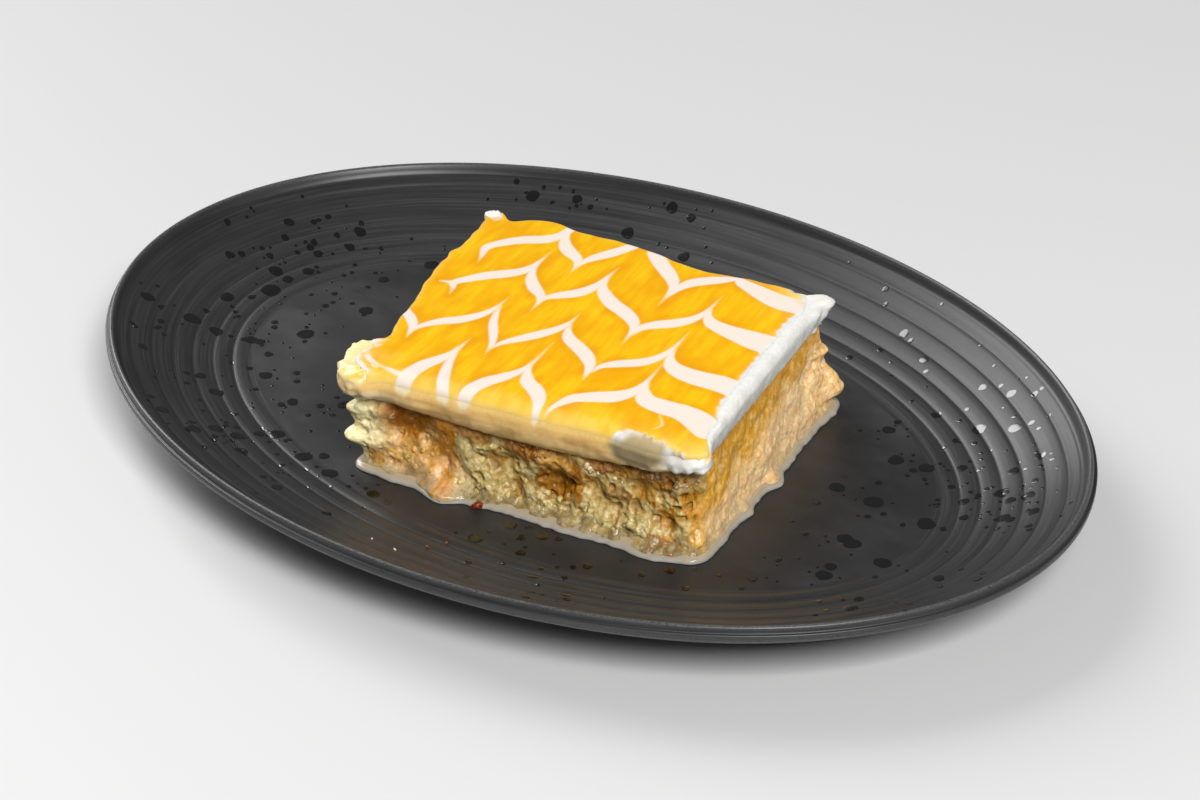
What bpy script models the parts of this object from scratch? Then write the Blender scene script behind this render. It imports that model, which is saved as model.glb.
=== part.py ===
"""Slice of tres leches cake with a feathered yellow icing, standing in its milk on an oval ribbed plate.

Sizes are in millimetres here, and each mesh is turned into metres when it is made. The origin is the
middle of the plate's foot on the table, +X runs along the plate and +Z is up. The cake is modelled in
a frame of its own: x along its long side, y from its front, where the crumb shows, to its back.
A side of the cake is found by a and b, which run from -1 to 1 along x and y, with the front at b = -1
and the right side at a = 1.
"""
import math

import bmesh
import bpy
from mathutils import Vector, noise

MM = 0.001
GAP = 0.3

# Name, colour and roughness of each material
PLATE_LOOK = ("plate_satin_black", (0.045, 0.045, 0.047), 0.42)
SPONGE_LOOK = ("soaked_sponge", (0.78, 0.58, 0.27), 0.6)
CREAM_LOOK = ("whipped_cream", (0.90, 0.88, 0.82), 0.5)
ICING_LOOK = ("yellow_icing", (0.96, 0.50, 0.02), 0.25)
MILK_LOOK = ("milk", (0.80, 0.74, 0.64), 0.15)

# Angle in degrees above which an edge between two faces stays sharp
SHARP_ANGLE = 40.0
PLATE_SHARP_ANGLE = 50.0
SPONGE_SHARP_ANGLE = 60.0

# Plate, an oval with the same ribs all round: each ring is the rim's oval moved inwards
PLATE_LENGTH = 300.0
PLATE_WIDTH = 219.0
PLATE_HEIGHT = 22.0
PLATE_SEGMENTS = 72
WELL_HEIGHT = 6.0
WELL_OFFSET = 40.0
BOWL_POWER = 1.8
BOWL_EDGE_DEPTH = 0.8
WALL = 3.5
BED_EDGE = WELL_OFFSET + 1.5
RIB_COUNT = 7
RIB_PITCH = 5.6
RIB_FIRST = 4.4
RIB_RISE = 0.4
FOOT_OUTER = 44.0
FOOT_INNER = 49.0
FOOT_SLOPE = 1.0
UNDERSIDE_OFFSETS = (42.5, 32.0, 22.0, 12.0, 5.0)
# Lip from its underside over its outer wall to its bead: offset from the rim, depth below its top
LIP_LINE = ((1.6, 4.4), (0.4, 3.5), (0.0, 1.8), (0.6, 0.4), (1.7, 0.0))

# Where the cake stands on the plate
CAKE_X = 9.7
CAKE_Y = -4.3
CAKE_TURN = 14.7

# Corners of the cake's outlines, in the order front left, front right, back right, back left
SPONGE_FOOT = ((-49.5, -44.6), (51.6, -48.4), (52.8, 43.0), (-51.0, 44.0))
SPONGE_HEAD = ((-49.5, -43.4), (50.0, -44.2), (48.8, 38.8), (-53.5, 44.5))
CREAM_RIM = ((-47.6, -48.4), (51.2, -48.8), (49.4, 40.6), (-57.2, 48.6))
HALF_LENGTH = 52.0
HALF_WIDTH = 45.0
CORNER_ROUNDING = 0.07

# Where a side begins and where it is full, in a or b
LOW_SIDE = (-0.85, -0.98)
HIGH_SIDE = (0.85, 0.98)
MARGIN_SIDE = (0.90, 0.98)
ICING_END = (0.80, 0.90)
APRON_SIDE = (-0.80, -0.93)
APRON_LEFT = (0.2, 0.95)
APRON_RIGHT = (0.3, 0.7)
APRON_CORNER = (0.72, 1.0)

# Heights of the layers above the table
SPONGE_BASE = WELL_HEIGHT + GAP
SPONGE_TOP = 32.6
CREAM_BASE = SPONGE_TOP + GAP
GLAZE_BED = 38.4
CREAM_TOP = 39.6
GLAZE_THICKNESS = 1.0

# The cream hangs down in front of the sponge, deepest in the middle
APRON_DROP = 5.6
APRON_LEFT_RISE = 0.42
APRON_RIGHT_RISE = 0.3
APRON_CORNER_RISE = 0.95
APRON_WALL_HEIGHT = 28.0
WALL_GAP = 0.5
WALL_STEP = 0.8
WALL_RISE = 0.5
EDGE_THICKNESS = 1.5
# Overhang from which the wall follows the sponge, and over which the apron then hangs down
WALL_BLEND = (1.8, 2.8)
HANG_BLEND = (2.8, 3.6)
# The apron's lower edge: share of the way from rim to wall, and height above its lowest line
HEM_LINE = ((0.65, 0.0), (0.35, 0.6))
FACE_SHARE = 0.6
FACE_STEP = 0.1
SHOULDER_SHARE = 0.3

# The rim's rounding, inwards and down, is wider in front
ROUNDING_IN = 1.2
ROUNDING_DOWN = 1.2
FRONT_ROUNDING_IN = 2.0
FRONT_ROUNDING_DOWN = 1.8

# The bare margin at the right side, which narrows to nothing at the front corner
MARGIN_START = 34.0
MARGIN_SHRINK = 0.16
MARGIN_FULL_Y = -22.0
MARGIN_END_Y = -35.0
CREST_SHARE = 0.9
CREST_SQUEEZE = 0.25
BED_STEP = 0.6
ICING_STEP = 0.95
ICING_LEVEL_STEP = 1.4
# The icing's edge where it turns down: shares of the rounding's way in, rise and fall, and thickness
ICING_EDGE_SHARE = 0.5
ICING_LEVEL_SHARE = 0.95
ICING_EDGE_RISE = 0.1
ICING_EDGE_FALL = 0.2
ICING_EDGE_THICKNESS = 0.7
BROW_SHARE = 0.6
# Reach of a tear from which the cream is bare, and from which the icing draws back
CREAM_BARE = (2.0, 3.5)
ICING_BARE = (1.0, 2.0)
LARGEST_TEAR = 5.5

# Torn places of the cream's rim: x, y, reach outwards (inwards below zero) and half width
CREAM_TEARS = (
    (-57.5, 48.8, 3.8, 3.2),
    (-49.8, 47.8, -2.8, 3.4),
    (-38.0, 47.0, 2.6, 8.0),
    (-15.0, 45.5, 1.6, 14.0),
    (12.0, 43.6, -2.2, 10.0),
    (45.0, 41.0, 0.8, 6.0),
    (49.5, 40.0, 4.4, 2.2),
    (49.5, 33.0, 1.8, 2.8),
    (-53.5, 10.0, 1.9, 15.0),
    (-55.0, 21.0, 0.8, 2.2),
    (-49.4, -29.0, -1.4, 4.0),
    (-47.8, -37.5, 5.6, 3.6),
    (-47.5, -45.0, 5.6, 5.0),
    (51.2, -48.5, 2.2, 5.0),
    (51.0, -40.0, 0.9, 7.0),
    (38.0, -48.5, 1.4, 9.0),
    (14.0, -48.5, -0.3, 8.0),
)
TEAR_UNEVEN = 0.5
TEAR_UNEVEN_LEVEL = 3.0
TEAR_UNEVEN_LENGTH = 5.0
TEAR_DEPTH = 9.0

# Holes (reach below zero) and lumps of the sponge: x, y, z, reach and radius
SPONGE_CRAGS = (
    (9.0, -43.0, 16.0, -5.5, 4.2),
    (-2.5, -44.0, 12.0, -3.6, 2.8),
    (-5.0, -43.0, 20.0, -3.0, 3.0),
    (20.0, -43.5, 19.0, -3.2, 3.0),
    (28.0, -44.0, 14.0, -3.6, 3.0),
    (33.0, -43.5, 21.0, -3.2, 2.8),
    (41.0, -44.5, 15.0, -3.4, 2.8),
    (47.5, -43.5, 22.0, -3.8, 3.0),
    (-24.0, -44.0, 13.0, -3.0, 3.0),
    (-33.0, -43.0, 22.0, -3.0, 5.0),
    (-50.0, -43.5, 16.0, 5.4, 2.8),
    (-50.0, -43.0, 24.0, 3.0, 2.8),
    (-13.0, -44.0, 15.0, 1.6, 4.0),
    (6.0, -43.5, 22.5, 1.8, 3.4),
    (35.0, -45.0, 11.0, 1.6, 4.0),
    (49.0, 38.0, 28.0, 4.4, 3.6),
    (52.5, 41.0, 13.5, 4.4, 5.0),
    (51.0, 26.0, 21.0, -1.8, 4.0),
    (52.5, -5.0, 15.0, 1.2, 6.0),
    (52.0, -22.0, 22.0, -1.4, 4.0),
)

# Unevenness of the crumb's plain face: how far it lies in, and the reach and length of its waves
CRUMB_RECESS = 1.1
CRUMB_WAVES = ((2.4, 6.5, 0.0), (2.0, 3.4, 40.0))
# Share of it at the open sides, in front and at the left, and at the dragged sides
OPEN_ROUGH = 0.5
DRAGGED_ROUGH = 0.22

# Heights over which the crumb may stand out above the milk, and up to which it may below the cream
MILK_CLEAR = (9.2, 11.0)
CREAM_CLEAR = (24.0, 26.2)
FOOT_CALM = (7.0, 9.5)
HEAD_CALM = (30.0, 32.6)
HEAD_CALM_SHARE = 0.6

# Bulges of the milk's edge: x, y, extra width and half width
MILK_BULGES = (
    (38.0, -48.0, 1.9, 6.0),
    (18.0, -47.0, 0.9, 12.0),
    (-22.5, -45.6, 3.4, 5.0),
    (-45.0, -44.6, -0.9, 7.0),
    (52.0, -21.0, 1.4, 4.0),
    (52.2, -4.0, 2.2, 4.5),
    (52.6, 38.0, 1.0, 6.0),
    (-51.0, 10.0, 1.6, 12.0),
    (0.0, 46.0, 1.4, 16.0),
)
MILK_WIDTH = 2.4
MILK_RIGHT_WIDTH = 1.2
MILK_UNEVEN = 0.5
MILK_UNEVEN_LENGTH = 9.0
MILK_GAP = 0.35
MILK_CLIMB = 2.5
MILK_EDGE = 0.9
MILK_UNDERCUT = 0.3
# The milk's slope: share of its width and of its climb
MILK_SLOPE = (0.45, 0.72)

SPONGE_SIDE_POINTS = 40
SPONGE_LEVELS = 12
LAYER_SIDE_POINTS = 32
CORNER_POINTS = 4


def smooth_step(low, high, value):
    share = min(max((value - low) / (high - low), 0.0), 1.0)
    return share * share * (3.0 - 2.0 * share)


def mix(first, second, share):
    return first + (second - first) * share


def clear_scene():
    for thing in list(bpy.data.objects):
        bpy.data.objects.remove(thing, do_unlink=True)


def make_material(name, colour, roughness):
    material = bpy.data.materials.new(name)
    material.use_nodes = True
    shader = material.node_tree.nodes["Principled BSDF"]
    shader.inputs["Base Color"].default_value = (*colour, 1.0)
    shader.inputs["Roughness"].default_value = roughness
    shader.inputs["Metallic"].default_value = 0.0
    material.diffuse_color = (*colour, 1.0)
    return material


def cap_ring(shape, loop):
    """Fan of triangles from a ring to its middle."""
    middle = sum((corner.co for corner in loop), Vector()) / len(loop)
    centre = shape.verts.new(middle)
    for corner, following in zip(loop, loop[1:] + loop[:1]):
        shape.faces.new((corner, following, centre))


def ring_solid(name, rings, material, parent=None, closed_tube=False, sharp_angle=SHARP_ANGLE):
    """Closed solid skinned over rings of points; its ends are capped unless they join into a tube.

    The rings run anticlockwise seen from above, from the middle of the underside round to the top.
    """
    mesh = bpy.data.meshes.new(name)
    shape = bmesh.new()
    loops = [[shape.verts.new(point * MM) for point in ring] for ring in rings]
    pairs = list(zip(loops, loops[1:]))
    if closed_tube:
        pairs.append((loops[-1], loops[0]))
    for lower, upper in pairs:
        count = len(lower)
        for index in range(count):
            following = (index + 1) % count
            shape.faces.new((lower[index], lower[following], upper[following], upper[index]))
    if not closed_tube:
        cap_ring(shape, list(reversed(loops[0])))
        cap_ring(shape, loops[-1])
    bmesh.ops.triangulate(shape, faces=shape.faces[:])
    shape.to_mesh(mesh)
    shape.free()
    mesh.shade_smooth()
    mesh.set_sharp_from_angle(angle=math.radians(sharp_angle))
    mesh.materials.append(material)
    solid = bpy.data.objects.new(name, mesh)
    solid.parent = parent
    bpy.context.scene.collection.objects.link(solid)
    return solid


def oval_ring(offset, height):
    """The plate's rim oval moved inwards by an offset, at a height."""
    half_length = PLATE_LENGTH / 2 - offset
    half_width = PLATE_WIDTH / 2 - offset
    turns = [2 * math.pi * step / PLATE_SEGMENTS for step in range(PLATE_SEGMENTS)]
    return [Vector((half_length * math.cos(turn), half_width * math.sin(turn), height)) for turn in turns]


def bowl_height(offset):
    """Height of the plate's upper face without its ribs: steep at the rim, level in the well."""
    rise = max(1.0 - offset / WELL_OFFSET, 0.0)
    return WELL_HEIGHT + (PLATE_HEIGHT - BOWL_EDGE_DEPTH - WELL_HEIGHT) * rise ** BOWL_POWER


def make_plate():
    """Oval plate: ribs between the well and a rolled lip, and a foot ring below."""
    rings = [oval_ring(FOOT_INNER + FOOT_SLOPE, WELL_HEIGHT - WALL)]
    rings.append(oval_ring(FOOT_INNER, 0.0))
    rings.append(oval_ring(FOOT_OUTER, 0.0))
    for offset in UNDERSIDE_OFFSETS:
        rings.append(oval_ring(offset, bowl_height(offset) - WALL))
    for offset, depth in LIP_LINE:
        rings.append(oval_ring(offset, PLATE_HEIGHT - depth))
    for rib in range(RIB_COUNT):
        crest = RIB_FIRST + RIB_PITCH * rib
        rings.append(oval_ring(crest, bowl_height(crest) + RIB_RISE))
        if rib < RIB_COUNT - 1:
            valley = crest + RIB_PITCH / 2
            rings.append(oval_ring(valley, bowl_height(valley) - RIB_RISE))
    rings.append(oval_ring(BED_EDGE, WELL_HEIGHT))
    return ring_solid("plate", rings, make_material(*PLATE_LOOK), sharp_angle=PLATE_SHARP_ANGLE)


def rounded_square(points_per_side):
    """Places round the square from -1 to 1 with rounded corners: a, b and the way outwards."""
    radius = CORNER_ROUNDING
    places = []
    for side in range(4):
        turn = side * math.pi / 2
        out = Vector((math.sin(turn), -math.cos(turn)))
        along = Vector((math.cos(turn), math.sin(turn)))
        straight = points_per_side - CORNER_POINTS
        for step in range(straight):
            share = mix(-1.0 + radius, 1.0 - radius, step / (straight - 1))
            places.append((out + along * share, out))
        centre = (out + along) * (1.0 - radius)
        for step in range(1, CORNER_POINTS + 1):
            angle = (math.pi / 2) * step / (CORNER_POINTS + 1)
            way = out * math.cos(angle) + along * math.sin(angle)
            places.append((centre + way * radius, way))
    return places


def in_corners(corners, place):
    """Point in plan at a and b between four corners."""
    left = (1.0 - place.x) / 2
    front = (1.0 - place.y) / 2
    points = [Vector(corner) for corner in corners]
    return (points[0] * left * front + points[1] * (1 - left) * front
            + points[2] * (1 - left) * (1 - front) + points[3] * left * (1 - front))


def moved_in(place, distance):
    """The same place on an outline that lies inside this one by a distance."""
    return Vector((place.x * (1.0 - distance / HALF_LENGTH), place.y * (1.0 - distance / HALF_WIDTH)))


def bump(centre, point, reach, radius):
    return reach * math.exp(-(point - Vector(centre)).length_squared / radius ** 2)


def uneven(x, y, z, length):
    return noise.noise(Vector((x, y, z)) / length)


def sponge_point(place, height):
    """Plan point of the sponge's plain side, leaning in from the foot to the head."""
    share = (height - SPONGE_BASE) / (SPONGE_TOP - SPONGE_BASE)
    return in_corners(SPONGE_FOOT, place).lerp(in_corners(SPONGE_HEAD, place), share)


def crumb_roughness(place):
    """Share of the crumb's unevenness at a place."""
    open_side = max(smooth_step(*LOW_SIDE, place.x), smooth_step(*LOW_SIDE, place.y))
    return mix(DRAGGED_ROUGH, OPEN_ROUGH, open_side)


def sponge_relief(point, height, rough):
    """How far the torn crumb stands out of the sponge's plain side; never out where cream or milk touch."""
    spot = Vector((point.x, point.y, height))
    relief = -CRUMB_RECESS * rough
    for reach, length, shift in CRUMB_WAVES:
        relief += rough * reach * uneven(point.x + shift, point.y, height, length)
    for x, y, z, reach, radius in SPONGE_CRAGS:
        relief += bump((x, y, z), spot, reach, radius)
    if relief > 0.0:
        relief *= min(smooth_step(*MILK_CLEAR, height), 1.0 - smooth_step(*CREAM_CLEAR, height))
    head = 1.0 - HEAD_CALM_SHARE * smooth_step(*HEAD_CALM, height)
    return relief * smooth_step(*FOOT_CALM, height) * head


def make_sponge(parent):
    """The soaked sponge: one block with crags and holes on its cut sides."""
    rings = []
    for level in range(SPONGE_LEVELS):
        height = mix(SPONGE_BASE, SPONGE_TOP, level / (SPONGE_LEVELS - 1))
        ring = []
        for place, way in rounded_square(SPONGE_SIDE_POINTS):
            plain = sponge_point(place, height)
            point = plain + way * sponge_relief(plain, height, crumb_roughness(place))
            ring.append(Vector((point.x, point.y, height)))
        rings.append(ring)
    return ring_solid("sponge", rings, make_material(*SPONGE_LOOK), parent, sharp_angle=SPONGE_SHARP_ANGLE)


def torn_reach(place):
    """How far the cream's torn rim stands out of its plain outline at a place."""
    plain = in_corners(CREAM_RIM, place)
    reach = TEAR_UNEVEN * uneven(plain.x, plain.y, TEAR_UNEVEN_LEVEL, TEAR_UNEVEN_LENGTH)
    return reach + sum(bump((x, y), plain, tear, width) for x, y, tear, width in CREAM_TEARS)


def cream_point(place, way, inset):
    """Plan point of the cream's torn rim, or of the outline inside it by an inset, less torn deep inside."""
    reach = torn_reach(place) * (1.0 - smooth_step(TEAR_DEPTH / 2, TEAR_DEPTH, inset))
    return in_corners(CREAM_RIM, moved_in(place, inset)) + way * reach


def apron_drop(place, overhang):
    """How far the cream hangs down: only in front, and only where it stands clear of the sponge."""
    drop = APRON_DROP * (1.0 - APRON_LEFT_RISE * smooth_step(*APRON_LEFT, -place.x))
    drop *= 1.0 - APRON_RIGHT_RISE * smooth_step(*APRON_RIGHT, place.x)
    drop *= 1.0 - APRON_CORNER_RISE * smooth_step(*APRON_CORNER, place.x)
    return drop * smooth_step(*HANG_BLEND, overhang) * smooth_step(*APRON_SIDE, place.y)


def squeezed(point, share):
    """Point moved left by a share of the width of the bare margin at the right side."""
    beyond = max(point.x - MARGIN_START, 0.0)
    full = smooth_step(MARGIN_END_Y, MARGIN_FULL_Y, point.y)
    return Vector((point.x - share * full * MARGIN_SHRINK * beyond, point.y))


def rounding(place):
    """How far the rim's rounding goes inwards and down at a place."""
    front = smooth_step(*LOW_SIDE, place.y)
    return ROUNDING_IN + FRONT_ROUNDING_IN * front, ROUNDING_DOWN + FRONT_ROUNDING_DOWN * front


def make_cream(parent):
    """The cream: a slab with a rounded edge, an apron in front, a raised bare margin and torn corners."""
    rings = []
    for place, way in rounded_square(LAYER_SIDE_POINTS):
        rim = cream_point(place, way, 0.0)
        reach = torn_reach(place)
        sponge_side = sponge_point(place, APRON_WALL_HEIGHT)
        overhang = (rim - sponge_side).dot(way)
        clear_side = sponge_side + way * WALL_GAP
        wall = (rim - way * EDGE_THICKNESS).lerp(clear_side, smooth_step(*WALL_BLEND, overhang))
        drop = apron_drop(place, overhang)
        low = CREAM_BASE - drop
        inwards, down = rounding(place)
        bare = max(smooth_step(*MARGIN_SIDE, place.x), smooth_step(*CREAM_BARE, reach))
        tear = min(max(reach - 1.0, 0.0), LARGEST_TEAR)
        top = mix(GLAZE_BED, CREAM_TOP, bare)
        high = top - down
        inner = in_corners(SPONGE_HEAD, moved_in(place, TEAR_DEPTH))
        hem = [(rim.lerp(wall, share), low + rise) for share, rise in HEM_LINE]
        steps = (
            (inner, CREAM_BASE),
            (wall - way * WALL_STEP, CREAM_BASE),
            (wall, CREAM_BASE - max(drop - WALL_RISE, 0.0)),
            *hem,
            (rim, mix(low, high, FACE_SHARE)),
            (cream_point(place, way, FACE_STEP), high),
            (cream_point(place, way, inwards * SHOULDER_SHARE), top - down * SHOULDER_SHARE),
            (squeezed(cream_point(place, way, inwards * CREST_SHARE), CREST_SQUEEZE), top),
            (squeezed(cream_point(place, way, inwards + BED_STEP + tear), 1.0), GLAZE_BED),
            (squeezed(cream_point(place, way, TEAR_DEPTH), 1.0), GLAZE_BED),
        )
        rings.append([Vector((point.x, point.y, height)) for point, height in steps])
    return ring_solid("cream", list(zip(*rings)), make_material(*CREAM_LOOK), parent)


def make_glaze(parent):
    """The icing: a thin sheet on the cream that turns down over its rim, up to what is bare."""
    rings = []
    base = GLAZE_BED + GAP
    for place, way in rounded_square(LAYER_SIDE_POINTS):
        inwards, down = rounding(place)
        reach = torn_reach(place)
        bare = max(smooth_step(*ICING_END, place.x), smooth_step(*ICING_BARE, reach))
        tear = min(max(reach - 1.0, 0.0), LARGEST_TEAR)
        edge = mix(inwards * ICING_EDGE_SHARE, inwards + ICING_STEP + tear, bare)
        level = mix(inwards * ICING_LEVEL_SHARE, inwards + ICING_LEVEL_STEP + tear, bare)
        under_edge = base + mix(ICING_EDGE_RISE - down * ICING_EDGE_FALL, 0.0, bare)
        brow = mix(under_edge, base, BROW_SHARE) + GLAZE_THICKNESS
        steps = (
            (TEAR_DEPTH, base),
            (level, base),
            (edge, under_edge),
            (edge, under_edge + GLAZE_THICKNESS * ICING_EDGE_THICKNESS),
            (mix(edge, level, BROW_SHARE), brow),
            (TEAR_DEPTH, base + GLAZE_THICKNESS),
        )
        points = [(squeezed(cream_point(place, way, inset), 1.0), height) for inset, height in steps]
        rings.append([Vector((point.x, point.y, height)) for point, height in points])
    return ring_solid("glaze", list(zip(*rings)), make_material(*ICING_LOOK), parent)


def make_milk(parent):
    """The milk that has run out round the sponge's foot, narrow at the right side."""
    rings = []
    for place, way in rounded_square(LAYER_SIDE_POINTS):
        foot = sponge_point(place, SPONGE_BASE)
        width = mix(MILK_WIDTH, MILK_RIGHT_WIDTH, smooth_step(*HIGH_SIDE, place.x))
        width += MILK_UNEVEN * uneven(foot.x, foot.y, SPONGE_BASE, MILK_UNEVEN_LENGTH)
        width += sum(bump((x, y), foot, extra, radius) for x, y, extra, radius in MILK_BULGES)
        steps = (
            (MILK_GAP + width - MILK_UNDERCUT, SPONGE_BASE),
            (MILK_GAP + width, SPONGE_BASE + MILK_EDGE),
            (MILK_GAP + width * MILK_SLOPE[0], SPONGE_BASE + MILK_CLIMB * MILK_SLOPE[1]),
            (MILK_GAP, SPONGE_BASE + MILK_CLIMB),
            (MILK_GAP, SPONGE_BASE),
        )
        points = [(foot + way * reach, height) for reach, height in steps]
        rings.append([Vector((point.x, point.y, height)) for point, height in points])
    return ring_solid("milk", list(zip(*rings)), make_material(*MILK_LOOK), parent, closed_tube=True)


def main():
    clear_scene()
    make_plate()
    cake_frame = bpy.data.objects.new("cake_frame", None)
    cake_frame.location = (CAKE_X * MM, CAKE_Y * MM, 0.0)
    cake_frame.rotation_euler = (0.0, 0.0, math.radians(CAKE_TURN))
    bpy.context.scene.collection.objects.link(cake_frame)
    make_sponge(cake_frame)
    make_cream(cake_frame)
    make_glaze(cake_frame)
    make_milk(cake_frame)


main()
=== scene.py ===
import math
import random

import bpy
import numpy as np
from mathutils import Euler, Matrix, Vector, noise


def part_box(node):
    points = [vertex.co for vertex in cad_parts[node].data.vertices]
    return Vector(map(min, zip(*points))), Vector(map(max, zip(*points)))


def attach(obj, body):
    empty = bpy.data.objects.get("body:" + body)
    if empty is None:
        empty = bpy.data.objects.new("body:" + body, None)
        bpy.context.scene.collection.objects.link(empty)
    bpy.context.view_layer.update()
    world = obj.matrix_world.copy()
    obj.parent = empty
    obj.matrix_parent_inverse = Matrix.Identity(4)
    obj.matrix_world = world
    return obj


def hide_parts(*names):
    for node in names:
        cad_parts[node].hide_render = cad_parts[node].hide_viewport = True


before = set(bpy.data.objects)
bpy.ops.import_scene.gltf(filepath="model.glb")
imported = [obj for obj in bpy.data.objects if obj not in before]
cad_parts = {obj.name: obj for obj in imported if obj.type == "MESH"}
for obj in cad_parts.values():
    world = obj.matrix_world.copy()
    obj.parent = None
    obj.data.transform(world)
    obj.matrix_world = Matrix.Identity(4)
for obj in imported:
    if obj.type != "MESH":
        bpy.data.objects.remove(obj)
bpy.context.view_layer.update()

# Looks of a slice of tres leches cake on its oval plate.
# Lengths are in millimetres and become metres when a mesh is made. The plate is modelled about the
# origin. The cake has a frame of its own on the plate: x along its long side, y from its front, where
# the crumb shows, to its back. A side of the cake is found by a and b, which run from -1 to 1 along
# x and y, with the front at b = -1 and the right side at a = 1.

MM = 0.001
SEED = 11

# Points round the plate and the step of its ribbed rings, points of the front, right, back and left side
# of the layers, rings of the sponge, and points across and along the icing
PLATE_SIDES = 448
PLATE_STEP = 0.4
SPONGE_COUNTS = (430, 205, 175, 215)
SPONGE_RINGS = 92
CREAM_COUNTS = (260, 220, 200, 220)
MILK_COUNTS = (200, 200, 200, 200)
ICING_GRID = (262, 230)

# Plate, with its size from its solid
PLATE_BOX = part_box("plate")
PLATE_LENGTH = (PLATE_BOX[1].x - PLATE_BOX[0].x) / MM
PLATE_WIDTH = (PLATE_BOX[1].y - PLATE_BOX[0].y) / MM
PLATE_HEIGHT = PLATE_BOX[1].z / MM
WELL_HEIGHT = 6.0
WELL_OFFSET = 40.0
BOWL_POWER = 1.8
WALL = 3.5
RIB_COUNT = 7
RIB_PITCH = 5.6
RIB_FIRST = 4.4
RIB_RISE = 0.7
RIB_SOFTNESS = 0.35
FOOT_OUTER = 44.0
FOOT_INNER = 49.0
# The lip from the first rib over the bead to the outer wall and under it: offset from the rim, height
# and how much lighter the glaze is there, partly wear and partly a painted highlight on the bead's
# top and along the lower edge
LIP_LINE = (
    (3.9, 18.75, 0), (3.3, 19.3, 0), (2.8, 20.4, 0.1), (2.4, 21.3, 0.3), (2, 21.85, 0.9),
    (1.5, 21.97, 1), (1.1, 21.6, 0.5), (0.95, 21, 0), (0.9, 20.3, 0), (0.6, 20.1, 0),
    (0.25, 20.3, 0), (0, 19.9, 0.2), (0, 18.9, 0.3), (0.2, 18.3, 0.9), (0.7, 17.8, 0.3),
    (1.6, 17.6, 0), (3.2, 17, 0), (5, 15.4, 0),
)

# Where the cake stands on the plate
CAKE_X = 9.7
CAKE_Y = -4.3
CAKE_TURN = 14.7

# Corners of the cake's outlines, in the order front left, front right, back right, back left
SPONGE_FOOT = ((-49.5, -44.6), (51.6, -48.4), (52.8, 43.0), (-51.0, 44.0))
SPONGE_HEAD = ((-49.5, -43.4), (50.0, -44.2), (48.8, 38.8), (-53.5, 44.5))
CREAM_RIM = ((-47.6, -48.4), (51.2, -48.8), (49.4, 40.6), (-57.2, 48.6))
HALF_LENGTH = 52.0
HALF_WIDTH = 45.0
CORNER_ROUNDING = 0.07

# Heights of the layers above the table
SPONGE_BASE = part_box("sponge")[0].z / MM
SPONGE_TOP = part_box("sponge")[1].z / MM
CREAM_BASE = SPONGE_TOP + 0.3
CREAM_BED = 38.55
CREAM_CREST = 39.35
GLAZE_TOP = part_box("glaze")[1].z / MM

# The cream hangs down in front of the sponge, deepest in the middle
APRON_DROP = 5.6
APRON_LEFT_RISE = 0.42
APRON_RIGHT_RISE = 0.3
APRON_CORNER_RISE = 0.95
APRON_WALL_HEIGHT = 28.0
WALL_STEP = 0.8
EDGE_THICKNESS = 1.5
WALL_BLEND = (1.8, 2.8)

# The bare margin at the right side, which narrows to nothing at the front corner
MARGIN_START = 34.0
MARGIN_SHRINK = 0.16
MARGIN_FULL_Y = -22.0
MARGIN_END_Y = -35.0
CREST_SQUEEZE = 0.25
TEAR_DEPTH = 9.0
LARGEST_TEAR = 5.5

# Where the icing is torn off at the front right: x and the y behind which it lies, and the dent below
TORN_EDGE = (
    (24.5, -52), (26.6, -48.8), (28.6, -46.9), (31.6, -46.3), (35.4, -46.8), (38.7, -47.6),
    (41.6, -48.2), (46, -50.2), (50, -51.5),
)
DENT_MIDDLE = (34.4, 35.1)
DENT_HALF = (8.8, 5.2)

# Torn places of the cream's rim: x, y, reach outwards (inwards below zero) and half width
CREAM_TEARS = (
    (-57.5, 48.8, 3.8, 3.2),
    (-49.8, 47.8, -2.8, 3.4),
    (-38, 47, 2.6, 8),
    (-15, 45.5, 1.6, 14),
    (12, 43.6, -2.2, 10),
    (45, 41, 0.8, 6),
    (49.5, 40, 4.4, 2.2),
    (49.5, 33, 1.8, 2.8),
    (-53.5, 10, 1.9, 15),
    (-55, 21, 0.8, 2.2),
    (-49.4, -29, -1.4, 4),
    (-47.8, -37.5, 5.6, 3.6),
    (-47.5, -45, 5.6, 5),
    (51.2, -48.5, 2.2, 5),
    (51, -40, 0.9, 7),
    (38, -48.5, 1.4, 9),
    (14, -48.5, -0.3, 8),
)

# Holes (reach below zero) and lumps of the sponge: x, y, z, reach and radius
SPONGE_CRAGS = (
    (9, -43, 16, -5.5, 4.2),
    (-2.5, -44, 12, -3.6, 2.8),
    (-5, -43, 20, -3, 3),
    (20, -43.5, 19, -3.2, 3),
    (28, -44, 14, -3.6, 3),
    (33, -43.5, 21, -3.2, 2.8),
    (41, -44.5, 15, -3.4, 2.8),
    (47.5, -43.5, 22, -3.8, 3),
    (-24, -44, 13, -3, 3),
    (-33, -43, 22, -3, 5),
    (-50, -43.5, 16, 5.4, 2.8),
    (-50, -43, 24, 3, 2.8),
    (-13, -44, 15, 1.6, 4),
    (6, -43.5, 22.5, 1.8, 3.4),
    (35, -45, 11, 1.6, 4),
    (49, 38, 28, 4.4, 3.6),
    (52.5, 41, 13.5, 4.4, 5),
    (51, 26, 21, -1.8, 4),
    (52.5, -5, 15, 1.2, 6),
    (52, -22, 22, -1.4, 4),
)

# Lumps of the open crumb: size, height and shift of the pattern. Its pores: size, depth, shift, and the
# ranges of a lump's lot and of its dome over which they open.
CRUMB_LUMPS = ((3.6, 0.5, 0), (1.8, 0.36, 50), (0.95, 0.16, 90))
CRUMB_PORES = ((3.0, 1.6, 200, (0.6, 0.75), (0.4, 0.95)), (1.6, 0.6, 240, (0.45, 0.6), (0.35, 0.95)))
LUMP_BLEND = 9.0
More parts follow.
